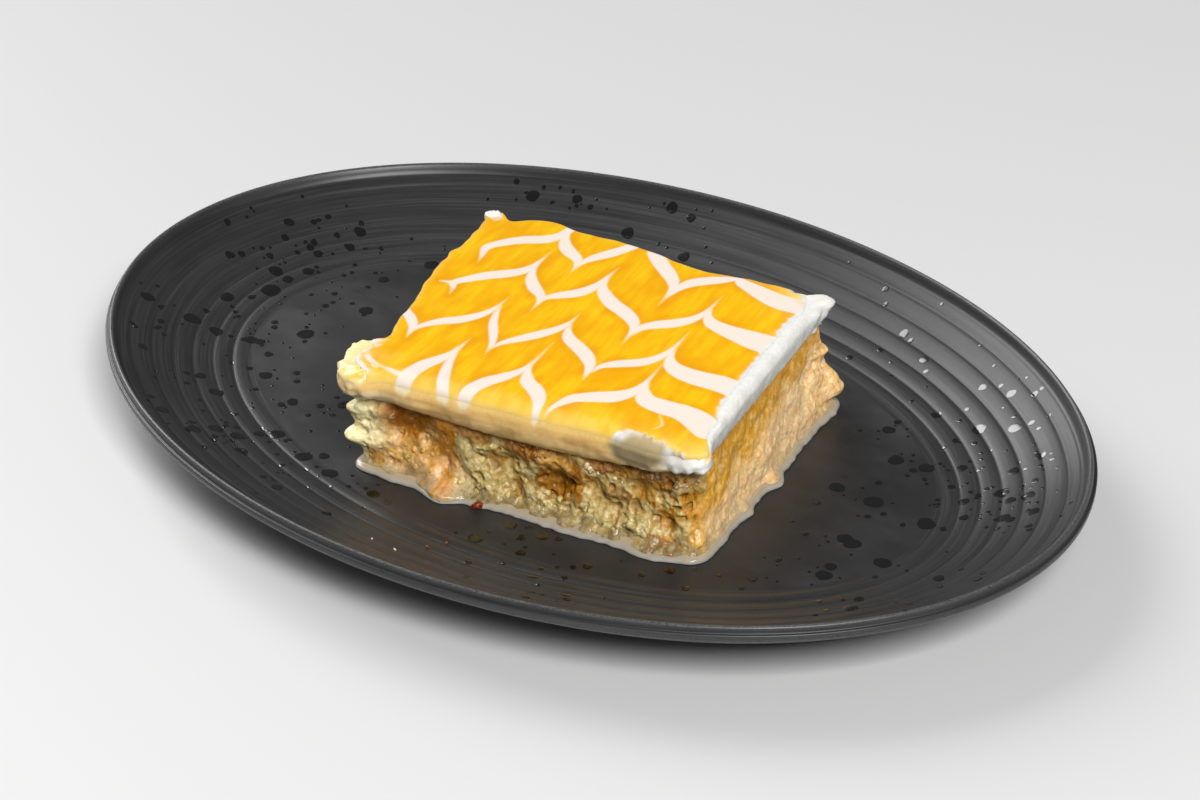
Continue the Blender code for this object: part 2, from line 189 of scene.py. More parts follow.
# A lump's lot is drawn from its middle's place along this way, stretched until it looks random
LOT_WAY = Vector((12.99, 78.23, 37.72))
LOT_STRETCH = 437.58
# Where the milk at the front's foot gives way to orange crumb
ORANGE_FOOT_X = -22.5

# Bulges of the milk's edge: x, y, extra width and half width
MILK_BULGES = (
    (38, -48, 1.9, 6),
    (18, -47, 0.9, 12),
    (-22.5, -45.6, 3.4, 5),
    (-45, -44.6, -0.9, 7),
    (52, -21, 1.4, 4),
    (52.2, -4, 2.2, 4.5),
    (52.6, 38, 1, 6),
    (-51, 10, 1.6, 12),
    (0, 46, 1.4, 16),
)
MILK_WIDTH = 2.4
MILK_RIGHT_WIDTH = 1.2
MILK_GAP = 0.35
MILK_CLIMB = 2.5
MILK_EDGE = 0.9
MILK_RIM = 0.9

# Feathered lines of the icing, each a curve through x, y and its width there
FEATHER_LINES = (
    ((-45.6, 17.5, 0.2), (-46.6, 22, 1.4), (-47.6, 27, 3), (-44.6, 31.4, 3.8), (-40, 35.6, 4.6),
     (-35.4, 38.2, 4.8), (-32.4, 42, 3.6), (-31.4, 46.5, 3), (-31.2, 49.5, 3.2)),
    ((-31.2, 49.5, 1), (-30.6, 43, 2), (-28.6, 38, 3.8), (-25.4, 34.4, 4.4), (-22, 31.8, 3.4),
     (-20.2, 28.4, 1.8), (-19.7, 22.5, 0.2)),
    ((-19.7, 24, 0.3), (-19.2, 30, 1.6), (-17.6, 34, 3.4), (-14.8, 38.2, 4.2), (-12, 43, 3.8),
     (-10, 47, 3.6)),
    ((-4.6, 47, 4.4), (-2.8, 43.2, 4.8), (0.6, 39, 4.8), (4.8, 34.6, 4.6), (8, 30.6, 3.6),
     (9.6, 26, 1.8), (10.1, 16, 0.2)),
    ((10.2, 20, 0.3), (10.8, 27, 2.4), (13, 32, 4.2), (16.6, 35.4, 4.6), (20.4, 38, 3.6),
     (23.2, 40, 1.6)),
    ((23.2, 40.5, 1.8), (25.6, 38.2, 4), (29.4, 36.4, 5.4), (34.4, 34.2, 6.8), (39.6, 32.4, 7.8),
     (46, 32, 8)),
    ((-44, -2.3, 0.2), (-44.8, 1.4, 1.4), (-46, 4.4, 2.6), (-43.4, 8, 3.6), (-39.6, 12, 4.4),
     (-35.2, 15.4, 4.6), (-32, 19, 3.6), (-30.6, 24, 1.8), (-30.2, 32, 0.3)),
    ((-50, 3.8, 0.8), (-46.5, 4.2, 2)),
    ((-30.2, 27, 0.4), (-29.6, 20, 1.8), (-27.6, 15, 3.4), (-24.4, 10.8, 4), (-21.4, 8, 3),
     (-20, 4.6, 1.6), (-19.7, -1.5, 0.2)),
    ((-19.7, 2, 0.3), (-19.2, 7, 1.8), (-16.8, 10, 3.6), (-13.4, 12.8, 4.4), (-10.8, 17, 3.6),
     (-9.6, 22.5, 2), (-9, 32, 0.2)),
    ((-9, 27, 0.4), (-8.4, 21, 1.8), (-6.4, 16.8, 3.8), (-2, 12.4, 4.8), (3.4, 9, 4.8),
     (7.6, 5.4, 3.8), (9.8, 0.8, 2), (10.3, -7.5, 0.2)),
    ((10.4, -3, 0.3), (11.2, 2.8, 2.6), (14.2, 6.4, 4.2), (18.4, 9.6, 4.4), (21.6, 13.6, 3.2),
     (23.2, 19, 1.6), (23.7, 29, 0.2)),
    ((23.7, 22, 0.4), (24.6, 17, 2.2), (27.2, 13.6, 4.4), (31.4, 11.8, 5.8), (36.6, 10.6, 7.4),
     (42, 9.6, 9.2), (47, 9, 10)),
    ((-51, -14.8, 2.6), (-47, -18.6, 3.2), (-44.2, -22.6, 2.4), (-42.8, -29, 0.2)),
    ((-42.8, -25, 0.3), (-42.4, -21.4, 2), (-39.2, -17.2, 3.4), (-34.6, -13.6, 3.8), (-31, -9, 3),
     (-29.2, -4, 1.6), (-28.5, 3.5, 0.2)),
    ((-28.5, -1, 0.4), (-27.8, -5, 1.4), (-26, -10.8, 2.4), (-23.4, -16, 2.6), (-20.9, -21.5, 1.8),
     (-19.7, -28, 0.2)),
    ((-19.7, -25, 0.3), (-18.8, -20.8, 1.8), (-15.6, -16.6, 3.2), (-12, -12.2, 3.8), (-9, -7.4, 3),
     (-7.4, -2.4, 1.4), (-7, 3.5, 0.2)),
    ((-7, -1.5, 0.4), (-6, -6.2, 1.8), (-3.6, -10.4, 3.8), (0.8, -13.8, 4.4), (4.8, -17.2, 4.2),
     (7.8, -21.6, 2.8), (9.4, -29, 0.2)),
    ((9.5, -25, 0.3), (10.6, -20.4, 2.2), (14.2, -17.2, 3.8), (18.6, -14.2, 4), (21.8, -10, 3),
     (23.4, -4, 1.6), (23.8, 7, 0.2)),
    ((23.9, -2, 0.4), (24.8, -8, 2.2), (27.2, -12.2, 4.6), (31.4, -14.4, 6.4), (36.4, -15.2, 7.4),
     (42, -15.3, 8), (47.5, -16.5, 8)),
    ((-33.6, -53, 3.6), (-33.2, -47, 4.8), (-31.8, -40, 4.6), (-29.6, -35.4, 3.8), (-27.9, -30.6, 2.2),
     (-27.3, -21.5, 0.2)),
    ((-27.3, -27, 0.4), (-26.7, -33, 1.8), (-25.2, -39.4, 3), (-22.8, -45.6, 3.4), (-20, -51, 3)),
    ((-16, -51, 3), (-15, -46, 4.2), (-12.8, -40.4, 4.6), (-9.6, -35.8, 3.8), (-7.2, -31, 2.2),
     (-6.4, -26, 1.2), (-6.4, -14, 0.2)),
    ((-6.4, -24, 0.4), (-5.8, -30, 1.6), (-3.4, -35.4, 4), (0.6, -38.8, 4.6), (3.6, -42.8, 3.6),
     (4.9, -47, 2.2), (5.3, -51, 1)),
    ((7.6, -48, 0.6), (8.8, -43.6, 2), (11.2, -38.6, 3.8), (15.6, -35.6, 5.2), (20.4, -33, 5.6),
     (23.6, -28.6, 3.4), (24.6, -22, 1.4), (24.4, -10, 0.2)),
    ((24.6, -20, 0.4), (25.6, -26, 2.4), (28.4, -31, 5.6), (33.4, -32.4, 6.8), (39, -32.8, 7.4),
     (44, -34.6, 8.6), (49, -38, 9)),
    ((-48.4, -39.6, 0.8), (-46.4, -42.6, 1.8), (-42, -44.8, 1.2), (-35, -45.8, 1.6)),
    ((-50.6, -39.4, 0.6), (-49.4, -42.6, 1.2), (-48.2, -45.6, 0.4)),
    ((34.8, -36.6, 0.6), (37.2, -40.6, 0.9), (36.2, -43.6, 0.5)),
)

# Pale places of the icing: x, y, strength and half width
PALE_ICING = ((46, 38, 0.8, 8), (47.5, 14, 0.7, 3))

# Large glossy specks in the plate's glaze: x, y and diameter
LARGE_SPECKS = (
    (-86.3, 82.7, 5), (-87, 78.6, 4), (-47, 97.3, 3.5), (-39.9, 101.7, 4), (-39.6, 97.3, 3),
    (-77.7, 91.6, 2.8), (-74.9, 85.4, 3.2), (-53.7, 84.1, 4), (-32.7, 85.1, 3.6), (-118.4, 34.4, 3.6),
    (-115.9, 27.4, 3), (-92, 38, 4.4), (-140.6, 30.1, 3.6), (-143.1, 24.9, 3), (-134.1, 19.9, 3),
    (-123.7, 18.4, 2.6), (-120.3, 18.1, 3), (-96.6, 22, 3.2), (-116.3, 9.9, 3.4), (-128, 5.6, 2.4),
    (-122.4, 2.3, 4), (-117.4, 2.3, 3.6), (-87, 4.9, 4.4), (-98.4, -1.1, 2.2), (-116.3, -5.6, 5.4),
    (-134.1, -4.9, 2.8), (-90.6, -17, 5), (-102.4, -17.7, 2.2), (-120.6, -19.1, 4.4), (-143.4, 3.4, 2),
    (-99.9, -29.7, 4), (-97.4, -28.6, 3), (-90.1, -32.3, 2.6), (-116.6, -36.6, 4.6), (-109.4, -34.4, 4),
    (-82, -41.3, 4), (-76.3, -34.7, 2), (-65.6, -47, 3.4), (-67, -49.9, 2.4), (-53.4, -38.7, 4),
    (-58.1, -43.4, 2.4), (-127.7, -43, 4), (-92.3, -56.3, 3.4), (-83.4, -58.7, 4), (-56, -62.3, 4.6),
    (-42, -65.9, 4.4), (-30.9, -67.3, 4.4), (-38.4, -62, 3), (-59.1, -65.9, 3), (-31.6, -85.9, 3),
    (-14.1, -85.4, 2.6), (-14.9, -67.3, 3.6), (-108, -63, 2.6), (-60.6, -72.3, 4), (-66.3, -75.1, 4),
    (-53.4, -78, 3.5), (-67, -82.3, 4), (-77, -84, 3.6), (69.6, 47.7, 3.6), (80.4, 35.9, 4.4),
    (88.9, 38.1, 4.4), (97.1, 42.7, 3), (106.7, 29.4, 3), (111.4, 45.3, 3.2), (113.9, 36.3, 4),
    (118.3, 33.4, 3), (122.1, 35.9, 3.6), (121.4, 25.6, 3.6), (123.8, 25, 2.6), (128.3, 29.1, 3),
    (133.9, 38.9, 2.6), (76.7, 14.6, 4.4), (88.3, 14.9, 5.6), (105, 15.1, 5.4), (111.4, 22.7, 2.6),
    (93, -4.4, 4.2), (96, -5.2, 4.4), (106.9, -7.3, 4.4), (124, -7.3, 3), (134.7, -6.9, 3),
    (97.9, -17.3, 3.2), (99, -21.6, 4.2), (113.3, -26.3, 2.6), (115, -32.3, 3.6), (86.4, -34.4, 2.4),
    (67.9, -45.1, 3), (32.6, -53.7, 3.6), (23.3, -55.1, 3.4), (28.9, -58, 2.6), (50.7, -57, 2.6),
    (33.6, -63.4, 2.6), (20.4, -65.9, 4), (57.1, -72.3, 3), (43.9, -70.1, 3), (47.1, 86.3, 2.6),
    (58.9, 79.4, 2.6), (31.9, 98.4, 2), (21.1, 105.1, 2.4), (74.7, 92.3, 3.4), (82.1, 74.1, 2.4),
    (91.9, 73.4, 2.8), (96.4, 78.9, 4.6), (100.2, 76.6, 3), (76.1, 60.9, 3), (91.1, 59.4, 3.6),
    (101, 61.6, 3.8), (119.6, 59.9, 3), (115, 52, 3),
)
SMALL_SPECKS = 520

# Patches of the sponge's front: x, z, half width, half height, tint and strength. The pore shade patches
# (olive and honey) lie over holes of the sponge and are painted shade there, the honey ones partly the
# crumb's own golden colour too.
FRONT_PATCHES = (
    (-33, 14, 9, 7.5, "toffee", 0.9),
    (-31, 26.5, 13, 3.4, "caramel", 0.9),
    (-36.5, 23.5, 7, 5.5, "caramel", 0.9),
    (-37, 24.5, 3.4, 3, "dark", 0.9),
    (-31, 25, 2.6, 2.6, "dark", 0.7),
    (-23.5, 18, 4.6, 9.5, "amber", 0.9),
    (-22, 22, 2.4, 4, "caramel", 0.8),
    (-43.5, 12, 4.4, 4, "amber", 0.9),
    (-24.5, 8, 5, 3.4, "orange", 1),
    (-14, 26, 5, 3, "crust", 0.8),
    (1.5, 25.4, 8, 3, "crust", 1),
    (9.5, 17, 6.5, 5.5, "painted_pore_shade", 1),
    (8, 24, 4.5, 3.6, "toffee", 0.7),
    (14.5, 22, 6, 4, "toffee", 0.8),
    (15.2, 18.5, 2.2, 6.2, "caramel", 0.9),
    (25, 26.4, 8, 2.6, "crust", 0.85),
    (40, 27, 11, 2.6, "toffee", 0.8),
    (37, 24.6, 8, 1.8, "crust", 0.8),
    (48, 20, 3.2, 4.4, "amber", 0.9),
    (41.5, 15.5, 3.2, 3.2, "honey_and_painted_pore_shade", 0.9),
    (35.5, 20, 4, 2.4, "honey_and_painted_pore_shade", 0.8),
    (27, 18.5, 4, 2.2, "painted_pore_shade", 0.7),
    (-2, 12.5, 2, 3, "painted_pore_shade", 0.8),
    (-8, 19, 1.8, 3, "painted_pore_shade", 0.7),
    (41, 8.6, 5.4, 2.8, "orange", 0.8),
    (51.5, 14, 4, 10, "gold", 0.6),
)

# Bits that cling to the front: x, z, spread of each, count, size, stretch and tint
BIT_GROUPS = (
    (20, 24.4, 2.4, 1, 5, 1.3, 2, "flake"),
    (27.5, 21.9, 2, 0.6, 3, 1.1, 1.8, "flake"),
    (42, 26.6, 7, 1.3, 36, 0.75, 1.4, "flake"),
    (34, 26, 12, 1.8, 40, 1.1, 1.3, "crust"),
    (2, 26, 8, 1.8, 26, 1.2, 1.3, "crust"),
    (-36, 15, 9, 5, 12, 1.8, 1.3, "toffee"),
    (10, 11, 30, 2.2, 26, 1.9, 1.3, "pale"),
)
# Loose bits on the plate in the cake's frame: x, y, size and tint
LOOSE_BITS = (
    (-11.5, -48.9, 2.3, "rust"), (-12.8, -49.2, 1.3, "rust"),
    (-13.6, -73, 0.8, "rust"), (-10.7, -68, 0.7, "rust"), (-26.2, -79.1, 0.5, "flake"),
    (-18.3, -81.4, 0.7, "flake"),
)

CAMERA_LENS = 90.0
CAMERA_SENSOR = 36.0
CAMERA_DISTANCE = 846.3
CAMERA_ELEVATION = 30.18
CAMERA_AZIMUTH = 40.26
CAMERA_AIM = (-7.8, 17.0, 0.0)

# Softboxes: place in metres as the camera sees it (right, away, up), size and power
SOFTBOXES = (
    ("key_softbox", (-2.03, 2.24, 1.97), 2.4, 116.0),
    ("front_softbox", (0.5, -1.66, 1.70), 0.9, 71.0),
)
ROOM_TINT = (0.97, 0.98, 1.0, 1.0)
ROOM_LIGHT = 0.13
# Half the table's width, in metres
TABLE_HALF = 2.5


def linear(tints):
    """Tints given as display colours from 0 to 255, made linear."""
    return {name: np.array([((part / 255 + 0.055) / 1.055) ** 2.4 for part in tint])
            for name, tint in tints.items()}


CRUMB_TINTS = linear({
    "pale": (203, 188, 134), "butter": (255, 246, 198), "tip": (234, 222, 180), "gold": (234, 178, 66),
    "amber": (210, 150, 44), "caramel": (176, 114, 20), "dark": (134, 74, 2), "toffee": (222, 176, 98),
    "orange": (222, 164, 92), "crust": (166, 112, 48), "painted_pore_shade": (140, 92, 2), "honey_and_painted_pore_shade": (190, 142, 36),
    "peach": (255, 220, 174), "flake": (238, 210, 172), "rust": (128, 58, 26), "milky": (120, 107, 84),
    "foam": (182, 170, 140),
})
CREAM_TINTS = linear({
    "white": (218, 218, 214), "bright": (232, 230, 222), "pearl": (230, 228, 222), "ivory": (246, 234, 204),
    "torn": (240, 218, 160), "icing": (250, 190, 40), "upper": (240, 200, 132), "tan": (235, 194, 116),
    "soaked": (244, 206, 140), "grey": (222, 206, 174), "dent": (170, 152, 114), "shade": (196, 152, 88),
})
MILK_TINTS = linear({"milk": (158, 153, 143), "soaked": (178, 156, 118)})


def ramp(low, high, value):
    """Share from 0 at low to 1 at high, level at both ends."""
    share = np.clip((value - low) / (high - low), 0.0, 1.0)
    return share * share * (3.0 - 2.0 * share)


def at_side(reach):
    """Share of a side of the cake, from how far a or b reaches towards it."""
    return ramp(0.85, 0.98, reach)


def mix(first, second, share):
    return first + (second - first) * share


def layered(tints, colour, layers):
    """Colour with tints laid over it in turn, each by its share."""
    for name, share in layers:
        colour = mix(colour, tints[name], np.clip(share, 0.0, 1.0)[..., None])
    return colour


def uneven(points, length, shift=0.0):
    """Smooth noise from about -1 to 1 at each point."""
    scaled = (np.asarray(points, float) + (shift, 0.0, 0.0)) / length
    values = [noise.noise(spot) for spot in scaled.reshape(-1, 3).tolist()]
    return np.array(values).reshape(scaled.shape[:-1])


def wander(points, length, reach, shifts):
    """Smooth noise in all three directions, to warp a pattern by."""
    return reach * np.stack([uneven(points, length, shift) for shift in shifts], -1)


def domes(points, size, shift=0.0):
    """Round lumps side by side: height from 1 at a lump's middle to 0 between, and a lot within each."""
    scaled = (np.asarray(points, float) + (shift, 0.0, 0.0)) / size
    heights = []
    lots = []
    for spot in scaled.reshape(-1, 3).tolist():
        distances, middles = noise.voronoi(spot)
        nearest = -math.log(sum(math.exp(-LUMP_BLEND * away) for away in distances)) / LUMP_BLEND
        heights.append(1.0 - 1.5 * nearest * abs(nearest))
        within = min((distances[1] - distances[0]) / 0.3, 1.0)
        lots.append(within * (math.sin(middles[0] @ LOT_WAY) * LOT_STRETCH % 1.0))
    shape = scaled.shape[:-1]
    return np.array(heights).reshape(shape), np.array(lots).reshape(shape)


def bump(centre, points, reach, radius):
    return reach * np.exp(-((points - np.array(centre)) ** 2).sum(-1) / radius ** 2)


def bumps(spots, points):
    """All bumps of a list together: each has its centre, its reach and its radius."""
    return sum(bump(spot[:-2], points, *spot[-2:]) for spot in spots)


def on_rounded(out, tangent, along):
    """Place and way on the rounded square for a point of the plain square on the side facing out."""
    straight = 1.0 - CORNER_ROUNDING
    past = np.clip((np.abs(along) - straight) / CORNER_ROUNDING, 0.0, 1.0)
    angle = past * math.pi / 4
    sign = np.sign(along)
    way = out * np.cos(angle)[..., None] + tangent * (sign * np.sin(angle))[..., None]
    place = out + tangent * along[..., None]
    corner = (out + tangent * sign[..., None]) * straight + way * CORNER_ROUNDING
    return np.where((past > 0)[..., None], corner, place), way


def rounded_square(*counts):
    """Places round the square from -1 to 1 with rounded corners, and the way outwards at each.

    The counts are the points of its front, right, back and left side.
    """
    along = np.concatenate([np.arange(count) / count * 2.0 - 1.0 for count in counts])
    turn = np.repeat(np.arange(4), counts) * math.pi / 2
    out = np.stack((np.sin(turn), -np.cos(turn)), -1)
    tangent = np.stack((np.cos(turn), np.sin(turn)), -1)
    return on_rounded(out, tangent, along)


def in_corners(corners, places):
    """Points in plan at a and b between four corners."""
    left = (1.0 - places[..., :1]) / 2
    front = (1.0 - places[..., 1:]) / 2
    points = [np.array(corner) for corner in corners]
    return (points[0] * left * front + points[1] * (1 - left) * front
            + points[2] * (1 - left) * (1 - front) + points[3] * left * (1 - front))


def moved_in(places, distance):
    """The same places on an outline that lies inside this one by a distance."""
    inside = np.asarray(distance, float)[..., None] / (HALF_LENGTH, HALF_WIDTH)
    return places * (1.0 - inside)


def at_height(points, height):
    """Plan points with a height, which may be one number or one for each."""
    heights = np.broadcast_to(np.asarray(height, float), points.shape[:-1])
    return np.concatenate((points, heights[..., None]), -1)


def new_piece(name, points, faces, node, slot_name, material, in_cake_frame=True, **attributes):
    """Piece from points in millimetres, which rides on the body and takes a material slot."""
    mesh = bpy.data.meshes.new(name)
    mesh.from_pydata((np.asarray(points, float) * MM).tolist(), [], faces)
    mesh.shade_smooth()
    for key, values in attributes.items():
        kind, field = ("FLOAT_COLOR", "color") if values.ndim == 2 else ("FLOAT", "value")
        if values.ndim == 2:
            values = np.column_stack((values, np.ones(len(values))))
        layer = mesh.attributes.new(key, kind, "POINT")
        layer.data.foreach_set(field, values.astype(np.float32).ravel())
    mesh.materials.append(material)
    piece = bpy.data.objects.new(name, mesh)
    if in_cake_frame:
        piece.location = (CAKE_X * MM, CAKE_Y * MM, 0.0)
        piece.rotation_euler = (0.0, 0.0, math.radians(CAKE_TURN))
    bpy.context.scene.collection.objects.link(piece)
    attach(piece, "root")
    if node:
        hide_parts(node)
    return piece


def quads(index, following, index_up, following_up):
    return np.stack((index, following, following_up, index_up), -1).reshape(-1, 4).tolist()


def ring_faces(rows, columns):
    """Faces over rings of points; two more points after them close the first and the last ring."""
    index = np.arange(rows * columns).reshape(rows, columns)
    following = np.roll(index, -1, axis=1)
    faces = quads(index[:-1], following[:-1], index[1:], following[1:])
    first, last = rows * columns, rows * columns + 1
    faces += [(b, a, first) for a, b in zip(index[0].tolist(), following[0].tolist())]
    faces += [(a, b, last) for a, b in zip(index[-1].tolist(), following[-1].tolist())]
    return faces


def closed(values):
    """Points or values of a grid of rings, with the means of its first and last ring after them."""
    flat = values.reshape(-1, *values.shape[2:])
    return np.concatenate((flat, values[0].mean(0)[None], values[-1].mean(0)[None]))


def ring_piece(name, grid, node, material, in_cake_frame=True, **fields):
    """Piece from a grid of rings in place of a node."""
    attributes = {key: closed(field) for key, field in fields.items()}
    return new_piece(name, closed(grid), ring_faces(*grid.shape[:2]), node, node, material, in_cake_frame,
                     **attributes)


def many_alike(shapes, faces):
    """Points and faces of many shapes that have the same faces."""
    points = np.concatenate(shapes)
    starts = range(0, len(points), len(shapes[0]))
    return points, [tuple(start + corner for corner in face) for start in starts for face in faces]


def softened(field, passes):
    """A grid's values, averaged with those beside, above and below them."""
    for _ in range(passes):
        field = (np.roll(field, 1, 1) + 2.0 * field + np.roll(field, -1, 1)) / 4.0
        padded = np.concatenate((field[:1], field, field[-1:]))
        field = (padded[:-2] + 2.0 * padded[1:-1] + padded[2:]) / 4.0
    return field


def outward(grid):
    """Unit normals of a grid of rings that run anticlockwise and go up the outside."""
    across = np.roll(grid, -1, 1) - np.roll(grid, 1, 1)
    normal = np.cross(across, np.gradient(grid, axis=0))
    return normal / np.maximum(np.linalg.norm(normal, axis=-1, keepdims=True), 1e-9)


class Nodes:
    """A material's node tree, with short calls that add a node and give its output."""

    def __init__(self, name):
        self.material = bpy.data.materials.new(name)
        self.material.use_nodes = True
        self.tree = self.material.node_tree

    def fill(self, node, inputs):
        """Link inputs to outputs of other nodes, or set them to numbers and colours."""
        for key, value in inputs.items():
            socket = node.inputs[key]
            if isinstance(value, bpy.types.NodeSocket):
                self.tree.links.new(value, socket)
            elif socket.type == "RGBA":
                socket.default_value = (*value, 1.0)
            else:
                socket.default_value = value

    def add(self, kind, output, inputs, **settings):
        node = self.tree.nodes.new("ShaderNode" + kind)
        for key, value in settings.items():
            setattr(node, key, value)
        self.fill(node, inputs)
        return node.outputs[output]

    def shade(self, **inputs):
        """Fill inputs of the shader itself."""
        shader = self.tree.nodes["Principled BSDF"]
        self.fill(shader, {key.replace("_", " "): value for key, value in inputs.items()})

    def attribute(self, name, output="Fac"):
        return self.add("Attribute", output, {}, attribute_type="GEOMETRY", attribute_name=name)

    def place(self, scale=(1.0, 1.0, 1.0)):
        """The piece's own coordinates in millimetres, times a scale for each axis."""
        own = self.add("TexCoord", "Object", {})
        return self.add("Mapping", "Vector", {"Vector": own, "Scale": [part / MM for part in scale]})

    def noise(self, size, detail=3.0, roughness=0.55, vector=None, scale=(1.0, 1.0, 1.0)):
        inputs = {"Vector": vector or self.place(scale), "Scale": 1.0 / size, "Detail": detail}
        return self.add("TexNoise", "Fac", {**inputs, "Roughness": roughness})

    def cells(self, size):
        """How far a place lies from the middle of its round grain, in grains."""
        inputs = {"Vector": self.place(), "Scale": 1.0 / size, "Smoothness": 0.35}
        return self.add("TexVoronoi", "Distance", inputs, feature="SMOOTH_F1")

    def spread(self, value, low, high, new_low=0.0, new_high=1.0, smooth=False):
        inputs = {"Value": value, "From Min": low, "From Max": high, "To Min": new_low, "To Max": new_high}
        return self.add("MapRange", "Result", inputs, interpolation_type="SMOOTHSTEP" if smooth else "LINEAR")

    def blend(self, share, first, second, kind="MIX"):
        """Colour from first to second by a share."""
        return self.add("Mix", 2, {0: share, 6: first, 7: second}, data_type="RGBA", blend_type=kind)

    def times(self, first, second, operation="MULTIPLY"):
        return self.add("Math", 0, {0: first, 1: second}, operation=operation)

    def bump(self, height, distance, strength=1.0):
        inputs = {"Height": height, "Distance": distance * MM, "Strength": strength}
        self.shade(Normal=self.add("Bump", "Normal", inputs))


def bowl_height(offset):
    """Height of the plate's upper face without its ribs: steep at the rim, level in the well."""
    rise = np.maximum(1.0 - offset / WELL_OFFSET, 0.0)
    return WELL_HEIGHT + (PLATE_HEIGHT - 0.8 - WELL_HEIGHT) * rise ** BOWL_POWER


def ribbed_height(offset):
    """Height of the plate's upper face inside the lip, with its ribs."""
    last = RIB_FIRST + RIB_PITCH * (RIB_COUNT - 1)
    wave = np.abs(np.cos((offset - RIB_FIRST) / RIB_PITCH * math.pi)) ** RIB_SOFTNESS
    fade = 1.0 - ramp(last, last + RIB_PITCH / 2, offset)
    return bowl_height(offset) + RIB_RISE * (wave - 0.6) * fade


def rim_offset(points):
    """How far inside the plate's rim plan points lie, by halving the range."""
    low = np.zeros(len(points))
    high = np.full(len(points), PLATE_WIDTH / 2 - 1.0)
    for _ in range(30):
        middle = (low + high) / 2
        halves = np.stack((PLATE_LENGTH / 2 - middle, PLATE_WIDTH / 2 - middle), -1)
        inside = ((points / halves) ** 2).sum(-1) < 1
        low = np.where(inside, middle, low)
        high = np.where(inside, high, middle)
    return low


def plate_material():
    """Satin charcoal glaze, with faint rings left by the wheel, and a lip made lighter by wear and by a
    painted highlight.
    """
    nodes = Nodes("plate_satin_charcoal")
    streaks = nodes.noise(1.0, 4.0, 0.6, nodes.attribute("ring_place", "Vector"))
    clouds = nodes.spread(nodes.noise(34.0), 0.35, 0.65)
    grain = nodes.noise(0.35, 2.0)
    colour = nodes.blend(clouds, (0.017, 0.017, 0.0173), (0.023, 0.023, 0.0235))
    colour = nodes.blend(nodes.spread(streaks, 0.45, 0.75), colour, (0.038, 0.038, 0.039))
    # Worn glaze and painted highlight: the lip is lighter on its bead and along its lower edge, broken up by
    # grain.
    worn = nodes.times(nodes.attribute("lip"), nodes.spread(grain, 0.35, 0.6))
    nodes.shade(Base_Color=nodes.blend(worn, colour, (0.10, 0.10, 0.1018)), Specular_IOR_Level=0.36,
                Roughness=nodes.spread(streaks, 0.3, 0.7, 0.32, 0.44))
    nodes.bump(nodes.times(grain, nodes.times(streaks, 2.0), "ADD"), 0.02, 0.6)
    return nodes.material


def make_plate():
    """Oval plate: fine ribs between the well and a rolled lip, and a foot ring below."""
    turns = np.arange(PLATE_SIDES) / PLATE_SIDES * 2 * math.pi
    profile = [(FOOT_INNER + 1.0, WELL_HEIGHT - WALL, 0), (FOOT_INNER + 0.2, 0.5, 0)]
    profile += [(FOOT_INNER - 0.3, 0, 0), (FOOT_OUTER + 0.3, 0, 0), (FOOT_OUTER - 0.2, 0.5, 0)]
    profile += [(offset, bowl_height(offset) - WALL, 0) for offset in np.linspace(FOOT_OUTER - 1.5, 7.0, 16)]
    profile += reversed(LIP_LINE)
    inner = np.arange(WELL_OFFSET + 1.5, LIP_LINE[0][0], -PLATE_STEP)
    profile += [(offset, ribbed_height(offset), 0) for offset in reversed(inner)]
    offsets, heights, worn = np.array(profile, float).T[..., None]
    ways = np.cos(turns), np.sin(turns)
    halves = (PLATE_LENGTH / 2 - offsets, PLATE_WIDTH / 2 - offsets)
    grid = np.stack(np.broadcast_arrays(halves[0] * ways[0], halves[1] * ways[1], heights), -1)
    along = np.stack(np.broadcast_arrays(offsets / 0.55, ways[0] * 3.0, ways[1] * 3.0), -1)
    # The lip attribute carries how much lighter the lip is painted, for wear and for its highlight.
    ring_piece("plate_shell", grid, "plate", plate_material(), in_cake_frame=False, ring_place=along,
               lip=np.broadcast_to(worn, grid.shape[:2]))


def make_specks():
    """Glossy specks of glaze, which follow the plate's ribs."""
    draw = random.Random(SEED)
    specks = list(LARGE_SPECKS)
    for _ in range(SMALL_SPECKS):
        x, y, _size = draw.choice(LARGE_SPECKS)
        away = draw.uniform(3.0, 18.0)
        turn = draw.uniform(0.0, 2 * math.pi)
        size = 0.8 + 1.4 * draw.random() ** 2.5
        specks.append((x + away * math.cos(turn), y + away * math.sin(turn), size))
    sides, rings = 16, 4
    turns = np.arange(sides) / sides * 2 * math.pi
    ways = np.column_stack((np.cos(turns), np.sin(turns)))
    lift = np.repeat((0.04, 0.015), (1 + (rings - 1) * sides, sides))
    shapes = []
    for x, y, size in specks:
        reach = size / 2 * (1.0 + 0.28 * uneven(at_height((x, y) + ways, size), 1.0))
        flat = [(x, y) + ring / rings * reach[:, None] * ways for ring in range(1, rings + 1)]
        flat = np.concatenate([[(x, y)], *flat])
        offset = rim_offset(flat)
        if offset.min() >= LIP_LINE[0][0] + 0.3:
            height = mix(ribbed_height(offset), bowl_height(offset) + RIB_RISE, 0.12)
            shapes.append(at_height(flat, height + lift))
    side = np.arange(1, sides + 1)
    faces = [(0, a, b) for a, b in zip(side.tolist(), np.roll(side, -1).tolist())]
    for low in side + sides * np.arange(rings - 1)[:, None]:
        faces += quads(low, low + sides, np.roll(low, -1), np.roll(low + sides, -1))
    nodes = Nodes("speck_gloss_black")
    nodes.shade(Base_Color=(0.002, 0.002, 0.002), Roughness=0.17, Specular_IOR_Level=1.0)
    new_piece("plate_specks", *many_alike(shapes, faces), None, "plate", nodes.material, in_cake_frame=False)


